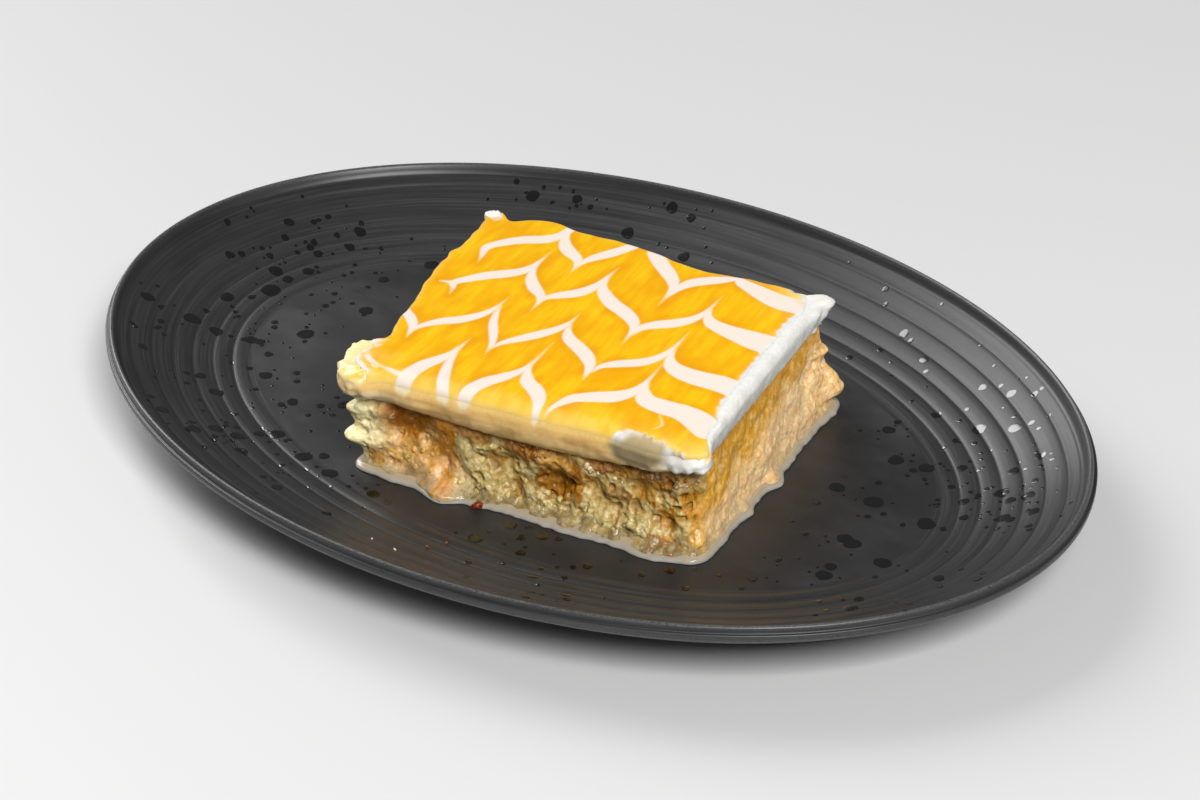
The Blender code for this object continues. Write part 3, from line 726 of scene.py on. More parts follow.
def sponge_relief(points, rough):
    """How far the torn crumb stands out of the sponge's plain side, as in its solid."""
    height = points[..., 2]
    relief = rough * (-1.1 + 2.4 * uneven(points, 6.5) + 2.0 * uneven(points, 3.4, 40.0))
    relief = relief + bumps(SPONGE_CRAGS, points)
    inside = np.minimum(ramp(9.2, 11.0, height), 1.0 - ramp(24.0, 26.2, height))
    relief = np.where(relief > 0.0, relief * inside, relief)
    return relief * ramp(7.0, 9.5, height) * (1.0 - 0.6 * ramp(30.0, 32.6, height))


def soaked_share(points, front):
    """How far points lie in the soaked part of the front, left of its middle."""
    return ramp(-14.0, -20.0, points[..., 0]) * ramp(-47.0, -41.0, points[..., 0]) * front


def wetness(points, front):
    """How wet the crumb looks: most at the foot and in the soaked places of the front."""
    foot = 1.0 - ramp(9.0, 17.0, points[..., 2] + 5.0 * uneven(points, 5.0, 33.0))
    return np.clip(np.maximum(soaked_share(points, front), foot), 0.0, 1.0)


def crumb_tint(points, front, depth):
    """Colour of the crumb: pale in front, golden at the other sides, soaked in patches, milky at the foot,
    with painted shade in its pores and holes and painted light on the tips of its lumps and at the pale front
    left corner.
    """
    height = points[..., 2]
    side = 1.0 - front
    warped = points + wander(points, 2.6, 1.8, (7.0, 19.0, 31.0))
    warped = warped + wander(points, 1.1, 0.9, (8.0, 18.0, 28.0))
    streaks = uneven(points * (1.0, 1.0, 0.6), 1.5, 210.0)
    grain = uneven(points, 0.8, 220.0)
    upper = mix(0.5, 1.0, ramp(15.0, 22.0, height + 5.0 * uneven(points, 7.0, 165.0)))
    slanted = height - 0.16 * (points[..., 1] + 40.0)
    lower = side * (1.0 - ramp(10.0, 21.0, slanted + 6.0 * uneven(points, 8.0, 11.0)))
    layers = [
        # Butter at the front left corner: pale crumb, brightened further as painted light.
        ("butter", front * (1.0 - ramp(-44.0, -38.0, warped[..., 0])) * ramp(11.0, 14.0, height)),
        ("tip", 0.6 * front * ramp(0.05, 0.35, uneven(warped, 4.2, 160.0))),
        ("tip", 0.5 * front * (1.0 - upper)),
        ("amber", 0.45 * side * ramp(0.05, 0.4, uneven(warped, 6.0, 60.0))),
        ("butter", 0.3 * side * ramp(0.1, 0.4, streaks + 0.6 * grain)),
        ("amber", 0.6 * side * ramp(0.1, 0.4, -streaks - 0.6 * grain)),
        ("amber", 0.5 * side * ramp(27.0, 32.0, height + 4.0 * uneven(points, 4.0))),
        ("peach", 0.9 * lower),
        ("orange", 0.4 * lower * ramp(0.0, 0.35, streaks + uneven(warped, 3.4, 120.0))),
        ("butter", 0.5 * lower * ramp(0.15, 0.4, grain)),
    ]
    for x, z, half_width, half_height, name, strength in FRONT_PATCHES:
        reach = ((warped[..., 0] - x) / half_width) ** 2 + ((warped[..., 2] - z) / half_height) ** 2
        layers.append((name, strength * front * (1.0 - ramp(0.55, 1.35, reach))))
    # The pale front left corner is pale crumb and painted light: its butter tint at its brightest and less
    # painted pore shade there.
    pale_and_painted_lit_corner = 1.0 - ramp(-45.0, -38.0, points[..., 0])
    soaked = soaked_share(points, front)
    plain = front * (1.0 - 0.8 * pale_and_painted_lit_corner) * (1.0 - soaked) * upper
    lumps = ramp(0.0, 0.3, uneven(warped, 2.6, 180.0) + 0.3 * grain - 0.04 * (height - 17.0))
    foot = 1.0 - ramp(7.5, 11.5, height + 2.6 * uneven(points, 3.4, 21.0))
    clear = 1.0 - bump(ORANGE_FOOT_X, points[..., :1], 0.6, 6.0)
    layers += [
        # Painted light and shade from the relief: the tips of the lumps are made paler, and the pores darker,
        # honey to olive, and caramel in the soaked part.
        ("tip", 0.5 * front * (1.0 - 0.6 * soaked) * ramp(0.0, -0.5, depth)),
        ("honey_and_painted_pore_shade", 0.65 * plain * ramp(0.15, 0.6, depth)),
        ("painted_pore_shade", 0.7 * plain * ramp(0.7, 1.6, depth)),
        ("caramel", 0.5 * soaked * ramp(0.05, 0.6, depth)),
        ("peach", 0.42 * soaked * lumps),
        ("butter", 0.5 * front * pale_and_painted_lit_corner * ramp(11.0, 14.0, height)),
        ("milky", 0.8 * foot * mix(0.5, 1.0, front) * clear),
        ("foam", 0.7 * foot * mix(0.7, 1.0, front) * ramp(0.05, 0.35, uneven(points, 1.7, 27.0))),
    ]
    return layered(CRUMB_TINTS, mix(CRUMB_TINTS["gold"], CRUMB_TINTS["pale"], front[..., None]), layers)


def crumb_material():
    nodes = Nodes("crumb_soaked")
    shade = nodes.blend(nodes.spread(nodes.noise(0.7), 0.3, 0.7), (0.84, 0.80, 0.72), (1.10, 1.10, 1.10))
    colour = nodes.blend(1.0, nodes.attribute("tint", "Color"), shade, "MULTIPLY")
    loose = nodes.attribute("open")
    # Painted shade: the crevices between the round grains are darkened, more where the crumb is open.
    between = nodes.times(nodes.spread(nodes.cells(1.5), 0.3, 0.75, smooth=True), loose)
    fine = nodes.times(nodes.spread(nodes.cells(0.75), 0.3, 0.75, smooth=True), loose)
    colour = nodes.blend(between, colour, (0.78, 0.68, 0.46), "MULTIPLY")
    colour = nodes.blend(fine, colour, (0.90, 0.85, 0.72), "MULTIPLY")
    nodes.shade(Base_Color=colour, Roughness=nodes.spread(nodes.attribute("wet"), 0.0, 1.0, 0.5, 0.18),
                Specular_IOR_Level=0.38, Subsurface_Weight=0.65, Subsurface_Scale=0.0016,
                Subsurface_Radius=(1.0, 0.7, 0.35))
    grains = nodes.times(nodes.times(between, 0.8), nodes.times(fine, 0.25), "ADD")
    nodes.bump(nodes.times(nodes.noise(0.7, 4.0, 0.6), grains, "SUBTRACT"), 0.22, 0.65)
    return nodes.material


def crumb_detail(plain, front, open_crumb):
    """Lumps and pores of the open crumb, or the fine grain of a dragged side."""
    x, height = plain[..., 0], plain[..., 2]
    spots = plain + wander(plain, 2.4, 0.8, (3.0, 23.0, 43.0))
    lumps = 0.12 * uneven(plain, 1.2, 95.0)
    for size, rise, shift in CRUMB_LUMPS:
        lumps = lumps + rise * (domes(spots, size, shift)[0] - 0.6)
    for size, depth, shift, lot_range, dome_range in CRUMB_PORES:
        holes, lots = domes(spots, size, shift)
        lumps = lumps - depth * ramp(*lot_range, lots) * ramp(*dome_range, holes)
    calm = 1.0 - 0.4 * front * ramp(-12.0, -26.0, x) * ramp(-45.0, -40.0, x)
    dragged = 0.16 * uneven(plain, 1.6, 230.0) + 0.14 * uneven(plain, 0.8, 235.0)
    ends = mix(0.25, 1.0, ramp(7.5, 10.5, height)) * (1.0 - 0.7 * ramp(27.5, 30.0, height))
    return mix(dragged, calm * softened(lumps, 1), open_crumb) * ends


def make_sponge(material):
    """The soaked sponge: open crumb in front and at the left, and finer at its dragged sides."""
    places, ways = rounded_square(*SPONGE_COUNTS)
    heights = np.linspace(SPONGE_BASE, SPONGE_TOP + 0.5, SPONGE_RINGS)[:, None]
    share = (heights - SPONGE_BASE) / (SPONGE_TOP - SPONGE_BASE)
    outline = mix(in_corners(SPONGE_FOOT, places), in_corners(SPONGE_HEAD, places), share[..., None])
    plain = at_height(outline, heights)
    x, y, height = np.moveaxis(plain, -1, 0)
    front, left, right = (np.broadcast_to(at_side(reach), x.shape)
                          for reach in (-places[:, 1], -places[:, 0], places[:, 0]))
    coarse = sponge_relief(plain, mix(0.22, 0.5, np.maximum(front, left)))
    open_front = front * (1.0 - 0.4 * ramp(43.0, 49.0, x))
    open_crumb = np.maximum.reduce((open_front, left, 0.6 * right * ramp(22.0, 36.0, y)))
    detail = crumb_detail(plain, front, open_crumb)
    flush = 1.4 * front * ramp(18.0, 26.0, height) * (1.0 - 0.6 * ramp(-15.0, 45.0, x))
    corner = 1.4 * front * ramp(-38.0, -44.0, x) * ramp(11.0, 14.0, height) * (1.0 - ramp(26.0, 29.0, height))
    lift = 1.4 * front * bump(ORANGE_FOOT_X, plain[..., :1], 1.0, 5.0)
    foot = milk_width(in_corners(SPONGE_FOOT, places), places) + MILK_GAP - MILK_RIM
    foot = foot + 0.3 * uneven(plain, 2.6, 170.0) + 0.4 * lift
    flare_top = 9.6 + 2.4 * uneven(plain * (1.0, 1.0, 0.0), 6.0, 175.0)
    flare = np.maximum(foot * (1.0 - ramp(6.6, flare_top, height - lift)), 0.0)
    grid = plain.copy()
    grid[..., :2] += ways * (coarse + flush + corner + flare + detail)[..., None]
    smoother = np.maximum(soaked_share(plain, front), front * ramp(-40.0, -45.0, x))
    # The open attribute sets how strong the painted shade in the crevices and the grain bump are.
    ring_piece("sponge_crumb", grid, "sponge", material, wet=wetness(plain, front),
               tint=crumb_tint(plain, front, -detail - 0.3 * np.minimum(coarse, 0.0)),
               open=mix(0.25, 1.0, open_crumb) * (1.0 - 0.7 * smoother))
    return grid[:, :SPONGE_COUNTS[0]].reshape(-1, 3)


def plate_height(x, y):
    """Height of the plate's face under a point of the cake's frame."""
    turn = math.radians(CAKE_TURN)
    plate_x = CAKE_X + x * math.cos(turn) - y * math.sin(turn)
    plate_y = CAKE_Y + x * math.sin(turn) + y * math.cos(turn)
    return float(ribbed_height(rim_offset(np.array([(plate_x, plate_y)])))[0])


def make_bits(front_points, material):
    """Flakes and crumbs that cling to the front, and a few crumbs beside it on the plate."""
    draw = random.Random(SEED)
    spots = []
    for x, z, spread_x, spread_z, count, size, stretch, tint in BIT_GROUPS:
        for _ in range(count):
            across = x + draw.uniform(-spread_x, spread_x)
            height = z + draw.uniform(-spread_z, spread_z)
            near = np.argmin((front_points[:, 0] - across) ** 2 + (front_points[:, 2] - height) ** 2)
            middle = front_points[near] + (0.0, 0.25 * size, 0.0)
            spots.append((middle, size * draw.uniform(0.6, 1.2), stretch, tint))
    for x, y, size, tint in LOOSE_BITS:
        spots.append((np.array((x, y, plate_height(x, y) + size / 3)), size, 1.3, tint))
    rings, sides = 7, 8
    tilts = np.linspace(0, math.pi, rings)[:, None]
    turns = np.arange(sides) / sides * 2 * math.pi
    parts = (np.sin(tilts) * np.cos(turns), np.sin(tilts) * np.sin(turns), np.cos(tilts))
    ball = np.stack(np.broadcast_arrays(*parts), -1)
    shapes = []
    for middle, size, stretch, _tint in spots:
        lump = ball * (1.0 + 0.5 * uneven(ball, 0.8, draw.uniform(0, 50)))[..., None] * size / 2
        turn = Euler([draw.uniform(-1.2, 1.2) for _ in range(3)]).to_matrix()
        shapes.append(closed(lump * (stretch, 1.0, 1.0) @ np.array(turn).T + middle))
    points, faces = many_alike(shapes, ring_faces(rings, sides))
    tints = np.repeat([CRUMB_TINTS[tint] for *_place, tint in spots], len(shapes[0]), axis=0)
    level = np.full(len(tints), 0.3)
    new_piece("crumb_bits", points, faces, None, "sponge", material, tint=tints, wet=level, open=level)


def torn_reach(places):
    """How far the cream's torn rim stands out of its plain outline."""
    plain = in_corners(CREAM_RIM, places)
    return 0.5 * uneven(at_height(plain, 3.0), 5.0) + bumps(CREAM_TEARS, plain)


def torn_share(places, reach):
    """Where the cream's rim is torn out of the icing and bare: at the left side and the back left corner."""
    corner = bump(CREAM_RIM[3], in_corners(CREAM_RIM, places), 1.0, 5.0)
    aside = np.maximum(1.0 - ramp(0.9, 0.97, places[..., 1]), corner)
    return ramp(2.0, 3.2, reach + 1.4 * corner) * ramp(-0.3, -0.6, places[..., 0]) * aside


def cream_point(places, ways, reach, inset):
    """Plan points of the cream's torn rim, or of the outline inside it by an inset."""
    fade = 1.0 - ramp(TEAR_DEPTH / 2, TEAR_DEPTH, np.asarray(inset, float))
    return in_corners(CREAM_RIM, moved_in(places, inset)) + ways * (reach * fade)[..., None]


def squeezed(points, share):
    """Points moved left by a share of the width of the bare margin at the right side."""
    beyond = np.maximum(points[..., 0] - MARGIN_START, 0.0)
    moved = points.copy()
    moved[..., 0] -= share * ramp(MARGIN_END_Y, MARGIN_FULL_Y, points[..., 1]) * MARGIN_SHRINK * beyond
    return moved


def quarter_round(share, inwards, down):
    """A point of the rim's rounding: how far inside the rim and how far below the top it lies."""
    angle = share * math.pi / 2
    return inwards * (1.0 - np.cos(angle)), down * (1.0 - np.sin(angle))


def smooth_curve(knots, steps=6):
    """Points of a smooth curve through knots."""
    padded = np.concatenate((2 * knots[:1] - knots[1:2], knots, 2 * knots[-1:] - knots[-2:-1]))
    curve = []
    for before, start, end, after in zip(padded, padded[1:], padded[2:], padded[3:]):
        bend = 2 * before - 5 * start + 4 * end - after
        twist = 3 * start - before - 3 * end + after
        for t in np.arange(steps) / steps:
            curve.append(0.5 * (2 * start + (end - before) * t + bend * t ** 2 + twist * t ** 3))
    return curve + [knots[-1]]


def feather_field(points):
    """For plan points, how deep they lie inside the nearest white line, in millimetres, and its width."""
    best = np.full(points.shape[:-1], -9.0)
    width = np.zeros(points.shape[:-1])
    for line in FEATHER_LINES:
        curve = smooth_curve(np.array(line))
        for start, end in zip(curve, curve[1:]):
            run = end[:2] - start[:2]
            share = np.clip(((points - start[:2]) @ run) / max(run @ run, 1e-9), 0.0, 1.0)
            away = np.linalg.norm(points - start[:2] - share[..., None] * run, axis=-1)
            here = mix(start[2], end[2], share)
            nearer = here / 2 - away > best
            best = np.where(nearer, here / 2 - away, best)
            width = np.where(nearer, here, width)
    return best, width


def icing_material():
    """Glossy yellow icing with white lines drawn through it, deeper beside them and paler where thin."""
    nodes = Nodes("icing_feathered")
    streaks = nodes.noise(1.5, scale=(1.0, 0.10, 1.0))
    bands = nodes.noise(5.0, 2.0, scale=(1.0, 0.30, 1.0))
    depth, thin = nodes.attribute("line"), nodes.attribute("thin")
    colour = nodes.blend(nodes.spread(streaks, 0.36, 0.66), (0.74, 0.388, 0.003), (0.77, 0.470, 0.006))
    colour = nodes.blend(nodes.spread(bands, 0.42, 0.66), colour, (0.72, 0.335, 0.002))
    beside = nodes.times(nodes.spread(depth, -3.2, -0.7), nodes.spread(bands, 0.4, 0.6, 0.2, 0.8))
    colour = nodes.blend(beside, colour, (0.69, 0.290, 0.002))
    colour = nodes.blend(nodes.spread(thin, 0.0, 0.6), colour, (0.80, 0.56, 0.13))
    white = nodes.blend(nodes.attribute("firm"), (0.80, 0.52, 0.16), (0.735, 0.64, 0.555))
    colour = nodes.blend(nodes.spread(depth, -0.35, 0.50, smooth=True), colour, white)
    colour = nodes.blend(nodes.spread(thin, 0.45, 1.0, 0.0, 0.85), colour, CREAM_TINTS["tan"])
    colour = nodes.blend(nodes.attribute("bare"), colour, CREAM_TINTS["white"])
    colour = nodes.blend(nodes.attribute("dent"), colour, CREAM_TINTS["dent"])
    nodes.shade(Base_Color=colour, Roughness=0.3, Specular_IOR_Level=0.1)
    nodes.bump(nodes.noise(1.6, scale=(1.0, 0.3, 1.0)), 0.08, 0.4)
    return nodes.material


def square_grid(across, deep):
    """Places and ways for a grid over the rounded square, and how near its edge each point lies."""
    u, v = np.meshgrid(np.linspace(-1, 1, across), np.linspace(-1, 1, deep))
    size = np.maximum(np.maximum(np.abs(u), np.abs(v)), 1e-6)
    sideways = (np.abs(u) >= np.abs(v))[..., None]
    side = np.where(sideways[..., 0], np.sign(u), np.sign(v))
    none = np.zeros_like(u)
    out = np.where(sideways, np.stack((side, none), -1), np.stack((none, side), -1))
    tangent = np.where(sideways, np.stack((none, side), -1), np.stack((-side, none), -1))
    along = (np.stack((u, v), -1) / size[..., None] * tangent).sum(-1)
    return *on_rounded(out, tangent, along), size


def torn_gap(plan):
    """Where the icing is torn off the cream at the front right, from 0 to 1."""
    spots = at_height(plan, 0.0)
    ragged = 0.3 * uneven(spots, 2.4, 9.0) + 0.9 * uneven(spots, 1.1, 29.0)
    edge = np.interp(plan[..., 0] + ragged, *zip(*TORN_EDGE))
    return ramp(0.25, -0.25, plan[..., 1] - edge + ragged)


def dent_share(points):
    """How far points of the front lie in the soaked dent of the cream, from 0 to 1."""
    across = points[..., 0] - DENT_MIDDLE[0] + 1.2 * uneven(points, 3.0, 92.0)
    slant = points[..., 2] - DENT_MIDDLE[1] - 0.16 * across + 0.8 * uneven(points, 2.0, 94.0)
    return 1.0 - ramp(0.45, 1.25, (across / DENT_HALF[0]) ** 2 + (slant / DENT_HALF[1]) ** 2)


def icing_top(places, ways, away, reach, front, margin, corner, bare):
    """Points of the icing's upper face, which turns down at its rim, and how far the icing is torn off."""
    plain = in_corners(CREAM_RIM, places)
    held = mix(mix(0.5, 1.0, margin), 1.0, ramp(-20.0, 0.0, plain[..., 1]))
    tear = held * np.clip(reach - 1.0, 0.0, LARGEST_TEAR)
    edge = mix(-0.15 * front, mix(1.9, 0.9, front) + tear, bare)
    inwards = mix(mix(mix(1.5, 4.8, front), 2.6, corner), mix(0.6, 2.4, margin), bare)
    down = mix(mix(mix(1.6, 4.1, front), 1.9, corner), mix(0.15, 0.75, margin), bare)
    share = np.clip(away / inwards, 0.0, 1.0)
    rounded, drop = quarter_round(share, inwards, down)
    dive = 0.7 * (1.0 - margin) * (1.0 - np.clip(away / mix(0.6, 2.6, front), 0.0, 1.0)) ** 1.5
    dive = dive + 0.12 * front * uneven(at_height(plain, 0.0), 3.0) * np.exp(-away)
    inset = edge * (1.0 - ramp(0.0, 24.0, away)) + np.where(share < 1.0, rounded + dive, away)
    half_length = mix(HALF_LENGTH, HALF_WIDTH, ramp(3.0, 14.0, inset))
    shrunk = places * (1.0 - inset[..., None] / np.stack(np.broadcast_arrays(half_length, HALF_WIDTH), -1))
    fade = 1.0 - ramp(TEAR_DEPTH / 2, TEAR_DEPTH, inset)
    plan = squeezed(in_corners(CREAM_RIM, shrunk) + ways * (reach * fade)[..., None], 1.0)
    spots = at_height(plan, 0.0)
    ragged = 0.6 * uneven(spots, 4.0) + 0.15 * uneven(spots, 1.2) + 0.5 * corner * uneven(spots, 1.5)
    plan = plan + ways * (ragged * np.maximum(bare, corner) * np.exp(-away / 3.0))[..., None]
    gap = torn_gap(plan)
    waves = 0.11 * uneven(spots, 13.0) + 0.05 * uneven(spots, 4.0) - 0.20
    sunk = 0.35 * gap * (1.0 - domes(spots, 1.5)[0])
    return at_height(plan, GLAZE_TOP + waves - drop - sunk), spots, gap


def make_icing():
    """The sheet of icing over the cream, which thins out and turns down over its rim."""
    across, deep = ICING_GRID
    places, ways, size = square_grid(across, deep)
    reach = torn_reach(places)
    front = at_side(-places[..., 1])
    margin = ramp(0.80, 0.90, places[..., 0]) * (1.0 - front)
    corner = ramp(0.78, 0.90, places[..., 0]) * front
    bare = np.maximum(margin, torn_share(places, reach))
    away = (1.0 - size) * HALF_WIDTH
    top, spots, gap = icing_top(places, ways, away, reach, front, margin, corner, bare)
    under = top - at_height(np.zeros_like(ways), 0.1 + 0.8 * ramp(0.0, 4.0, away))
    index = np.arange(across * deep).reshape(deep, across)
    low = index + across * deep
    faces = quads(index[:-1, :-1], index[:-1, 1:], index[1:, :-1], index[1:, 1:])
    faces += quads(low[:-1, :-1], low[1:, :-1], low[:-1, 1:], low[1:, 1:])
    border = np.concatenate((index[0, :-1], index[:-1, -1], index[-1, :0:-1], index[:0:-1, 0]))
    after = np.roll(border, -1)
    faces += quads(border, border + across * deep, after, after + across * deep)
    fading = mix(0.5, mix(0.6, 2.2, front), np.maximum(front, ramp(0.86, 0.98, -places[..., 0])))
    thin = np.exp(-away / (fading * (1.0 + 0.5 * uneven(spots, 3.0, 55.0)))) * (1.0 - 0.6 * margin)
    line, width = feather_field(top[..., :2])
    worn = margin * ramp(2.0, 0.8, away + 0.5 * uneven(spots, 2.0, 12.0))
    worn = worn + (bare - margin) * ramp(2.2, 0.4, away + 1.2 * uneven(spots, 1.8, 16.0))
    gap = np.clip(gap + worn, 0.0, 1.0)
    fields = {"line": line, "firm": ramp(0.3, 1.8, width), "bare": gap, "dent": gap * dent_share(top),
              "thin": np.clip(thin + bumps(PALE_ICING, top[..., :2]), 0.0, 1.0)}
    attributes = {key: np.tile(field.ravel(), 2) for key, field in fields.items()}
    points = np.concatenate((top.reshape(-1, 3), under.reshape(-1, 3)))
    piece = new_piece("icing_sheet", points, faces, "glaze", "icing", icing_material(), **attributes)
    piece.data.set_sharp_from_angle(angle=math.radians(50.0))


def cream_material():
    nodes = Nodes("cream_whipped")
    shade = nodes.blend(nodes.spread(nodes.noise(1.1), 0.3, 0.7), (0.94, 0.92, 0.89), (1.03, 1.03, 1.03))
    nodes.shade(Base_Color=nodes.blend(1.0, nodes.attribute("tint", "Color"), shade, "MULTIPLY"),
                Roughness=nodes.spread(nodes.attribute("wet"), 0.0, 1.0, 0.5, 0.26),
                Subsurface_Weight=0.5, Subsurface_Scale=0.0028, Subsurface_Radius=(1.0, 0.8, 0.6))
    nodes.bump(nodes.noise(0.45), 0.10, 0.5)
    return nodes.material


def cream_tint(points, front, right, torn):
    """Colour of the cream: white at the right, ivory elsewhere, soaked with milk in front."""
    x, y, height = np.moveaxis(points, -1, 0)
    mottled = uneven(points, 6.0, 3.0)
    streaks = uneven(points * (0.22, 1.0, 1.3), 2.6, 5.0)
    soak = front * (1.0 - ramp(24.0, 42.0, x + 5.0 * mottled))
    torn_front = torn * (x < 0.0) * (y < 0.0)
    left_spots = ramp(-0.1, 0.25, uneven(points, 2.2, 70.0)) * ramp(-51.5, -48.5, x)
    right_spots = ramp(0.0, 0.25, uneven(points, 2.6, 75.0)) * ramp(40.0, 43.0, x)
    hang = 37.0 - height
    line = ramp(-0.9, 0.6, feather_field(points[..., :2])[0] - 0.35 * np.maximum(hang, 0.0))
    return layered(CREAM_TINTS, CREAM_TINTS["ivory"], (
        ("white", right),
        ("upper", soak),
        ("soaked", 0.9 * soak * (1.0 - ramp(30.5, 35.0, height + 2.0 * streaks))),
        ("grey", 0.8 * soak * (1.0 - ramp(-44.0, -30.0, x)) * (1.0 - ramp(33.0, 35.5, height))),
        ("shade", 0.6 * soak * ramp(0.05, 0.45, streaks) * (1.0 - ramp(33.5, 35.5, height))),
        ("tan", 0.9 * front * ramp(32.8, 35.6, height + mottled) * (1.0 - ramp(25.0, 30.0, x))),
        ("white", 0.9 * front * ramp(26.5, 29.0, x) * ramp(33.5, 35.5, height + 1.5 * mottled)),
        ("pearl", 0.95 * front * ramp(41.0, 46.0, x + 4.0 * mottled)),
        ("bright", 0.8 * front * ramp(29.0, 31.0, x) * (1.0 - ramp(29.5, 30.5, height)) * (x < 44.0)),
        ("dent", front * dent_share(points)),
        ("torn", torn_front * ramp(33.5, 36.0, height)),
        ("icing", 0.8 * torn_front * left_spots * ramp(37.0, 38.5, height)),
        ("icing", 0.9 * front * right_spots * ramp(36.0, 37.5, height)),
        ("bright", torn * (y > 0.0)),
        ("ivory", 0.75 * front * (1.0 - ramp(1.0, 4.0, hang)) * line * (x < 20.0)),
    ))


def apron_drop(places, overhang):
    """How far the cream hangs down in front of the sponge."""
    a, b = places.T
    drop = APRON_DROP * (1.0 - APRON_LEFT_RISE * ramp(0.2, 0.95, -a))
    drop = drop * (1.0 - APRON_RIGHT_RISE * ramp(0.3, 0.7, a))
    drop = drop * (1.0 - APRON_CORNER_RISE * ramp(0.72, 1.0, a))
    return drop * ramp(WALL_BLEND[1], WALL_BLEND[1] + 0.8, overhang) * ramp(0.80, 0.93, -b)


def cream_rings(places, ways):
    """Rings of the cream from the middle of its underside round its rim to its bed, as in its solid."""
    reach = torn_reach(places)
    rim = cream_point(places, ways, reach, 0.0)
    head = in_corners(SPONGE_HEAD, places)
    share = (APRON_WALL_HEIGHT - SPONGE_BASE) / (SPONGE_TOP - SPONGE_BASE)
    sponge_side = mix(in_corners(SPONGE_FOOT, places), head, share)
    overhang = ((rim - sponge_side) * ways).sum(-1)
    wall = mix(rim - ways * EDGE_THICKNESS, sponge_side - ways * 0.6, ramp(*WALL_BLEND, overhang)[:, None])
    drop = apron_drop(places, overhang)
    front = at_side(-places[:, 1])
    margin = ramp(0.90, 0.98, places[:, 0])
    torn = torn_share(places, reach)
    bare = np.maximum(margin, torn)
    tear = np.clip(reach - 1.0, 0.0, LARGEST_TEAR)
    low = CREAM_BASE - drop
    top = mix(CREAM_BED, CREAM_CREST, bare)
    inwards = mix(mix(1.3, 3.8, front), 1.4, bare * (1.0 - front))
    down = mix(1.5, 3.4, front)
    slant = (margin * (1.0 - front))[:, None]
    flush = head + ways * 0.5
    shoulder = mix(rim + ways * 0.2 * front[:, None], mix(flush, rim, 0.7), slant)
    steps = [
        (in_corners(SPONGE_HEAD, moved_in(places, TEAR_DEPTH)), CREAM_BASE, 0.0, 3),
        (wall - ways * WALL_STEP, CREAM_BASE, 0.0, 2),
        (wall, CREAM_BASE - np.maximum(drop - 0.5, 0.0), 0.3, 3),
        (mix(mix(rim, wall, 0.7), flush - ways * 0.2, slant), low, 0.6, 3),
        (mix(mix(rim, wall, 0.4), flush, slant), low + 0.4, 1.0, 4),
        (mix(mix(rim, wall, 0.04), mix(flush, rim, 0.4), slant), mix(low, top - down, 0.45), 1.0, 6),
        (shoulder, top - down, mix(0.6, 0.3, front), 1),
    ]
    for share in np.linspace(0.12, 1.0, 9):
        rounded, fall = quarter_round(share, inwards, down)
        point = squeezed(cream_point(places, ways, reach, rounded + 0.3 * slant[:, 0]), CREST_SQUEEZE * share)
        steps.append((point, top - fall, mix(0.0, 1.0 - 0.4 * share, bare), 1))
    for inset, squeeze, height, shown, pieces in (
            (inwards + 1.2 + 0.9 * tear, 0.8, mix(CREAM_BED, CREAM_CREST - 0.1, bare), 0.3 * torn, 5),
            (inwards + 3.0 + tear, 1.0, CREAM_BED - 0.5, 0.0, 3),
            (TEAR_DEPTH, 1.0, CREAM_BED - 0.7, 0.0, 1)):
        steps.append((squeezed(cream_point(places, ways, reach, inset), squeeze), height, shown, pieces))
    rings = [at_height(at_height(points, height), shown) for points, height, shown, _pieces in steps]
    fine = [mix(lower, upper, piece / pieces)
            for lower, upper, (*_ring, pieces) in zip(rings, rings[1:], steps) for piece in range(pieces)]
    fine = np.array(fine + rings[-1:])
    return fine[..., :3], fine[..., 3], front, margin, torn


def make_cream(material):
    """The whipped cream, with a torn rim, an apron in front and a bare margin at the right."""
    grid, shown, *shares = cream_rings(*rounded_square(*CREAM_COUNTS))
    for _ in range(2):
        grid[5:-3] = (grid[4:-4] + 2 * grid[5:-3] + grid[6:-2]) / 4
    front, margin, torn = (np.broadcast_to(share, grid.shape[:2]) for share in shares)
    fluffy = 0.34 * uneven(grid, 2.6) + 0.26 * uneven(grid, 1.3, 20.0) + 0.16 * uneven(grid, 0.7, 40.0)
    smeared = 0.35 * uneven(grid * (0.25, 1.0, 1.0), 2.6, 60.0)
    smeared = smeared + 0.2 * uneven(grid * (1.0, 1.0, 0.3), 1.8, 65.0)
    dragged = 0.14 * uneven(grid * (1.0, 1.0, 0.4), 0.9, 80.0) + 0.12 * uneven(grid, 0.7, 85.0)
    relief = mix(mix(fluffy, smeared, 0.8 * front), dragged + 0.5 * uneven(grid, 6.0, 88.0), margin)
    relief = relief - 0.8 * dent_share(grid) * front
    lumps = 1.5 * (domes(grid, 2.4)[0] - 0.5) + 0.8 * (domes(grid, 1.2, 30.0)[0] - 0.5)
    corner = 0.7 * front * ramp(41.0, 46.0, grid[..., 0]) * (1.0 - ramp(35.5, 37.5, grid[..., 2]))
    relief = relief + lumps * np.maximum.reduce((torn, corner, bump(CREAM_RIM[2], grid[..., :2], 0.7, 5.0)))
    grid = grid + outward(grid) * (relief * shown)[..., None]
    grid[..., 2] = np.minimum(grid[..., 2], GLAZE_TOP - 0.03)
    ring_piece("cream_layer", grid, "cream", material, tint=cream_tint(grid, front, margin, torn),
               wet=front * (1.0 - ramp(36.0, 46.0, grid[..., 0])))


def milk_material():
    nodes = Nodes("milk_sweet")
    nodes.shade(Base_Color=nodes.blend(nodes.attribute("rise"), MILK_TINTS["milk"], MILK_TINTS["soaked"]),
                Roughness=0.12, Subsurface_Weight=0.5, Subsurface_Scale=0.002,
                Subsurface_Radius=(1.0, 0.8, 0.6))
    nodes.bump(nodes.noise(1.2, 2.0), 0.15, 0.4)
    return nodes.material


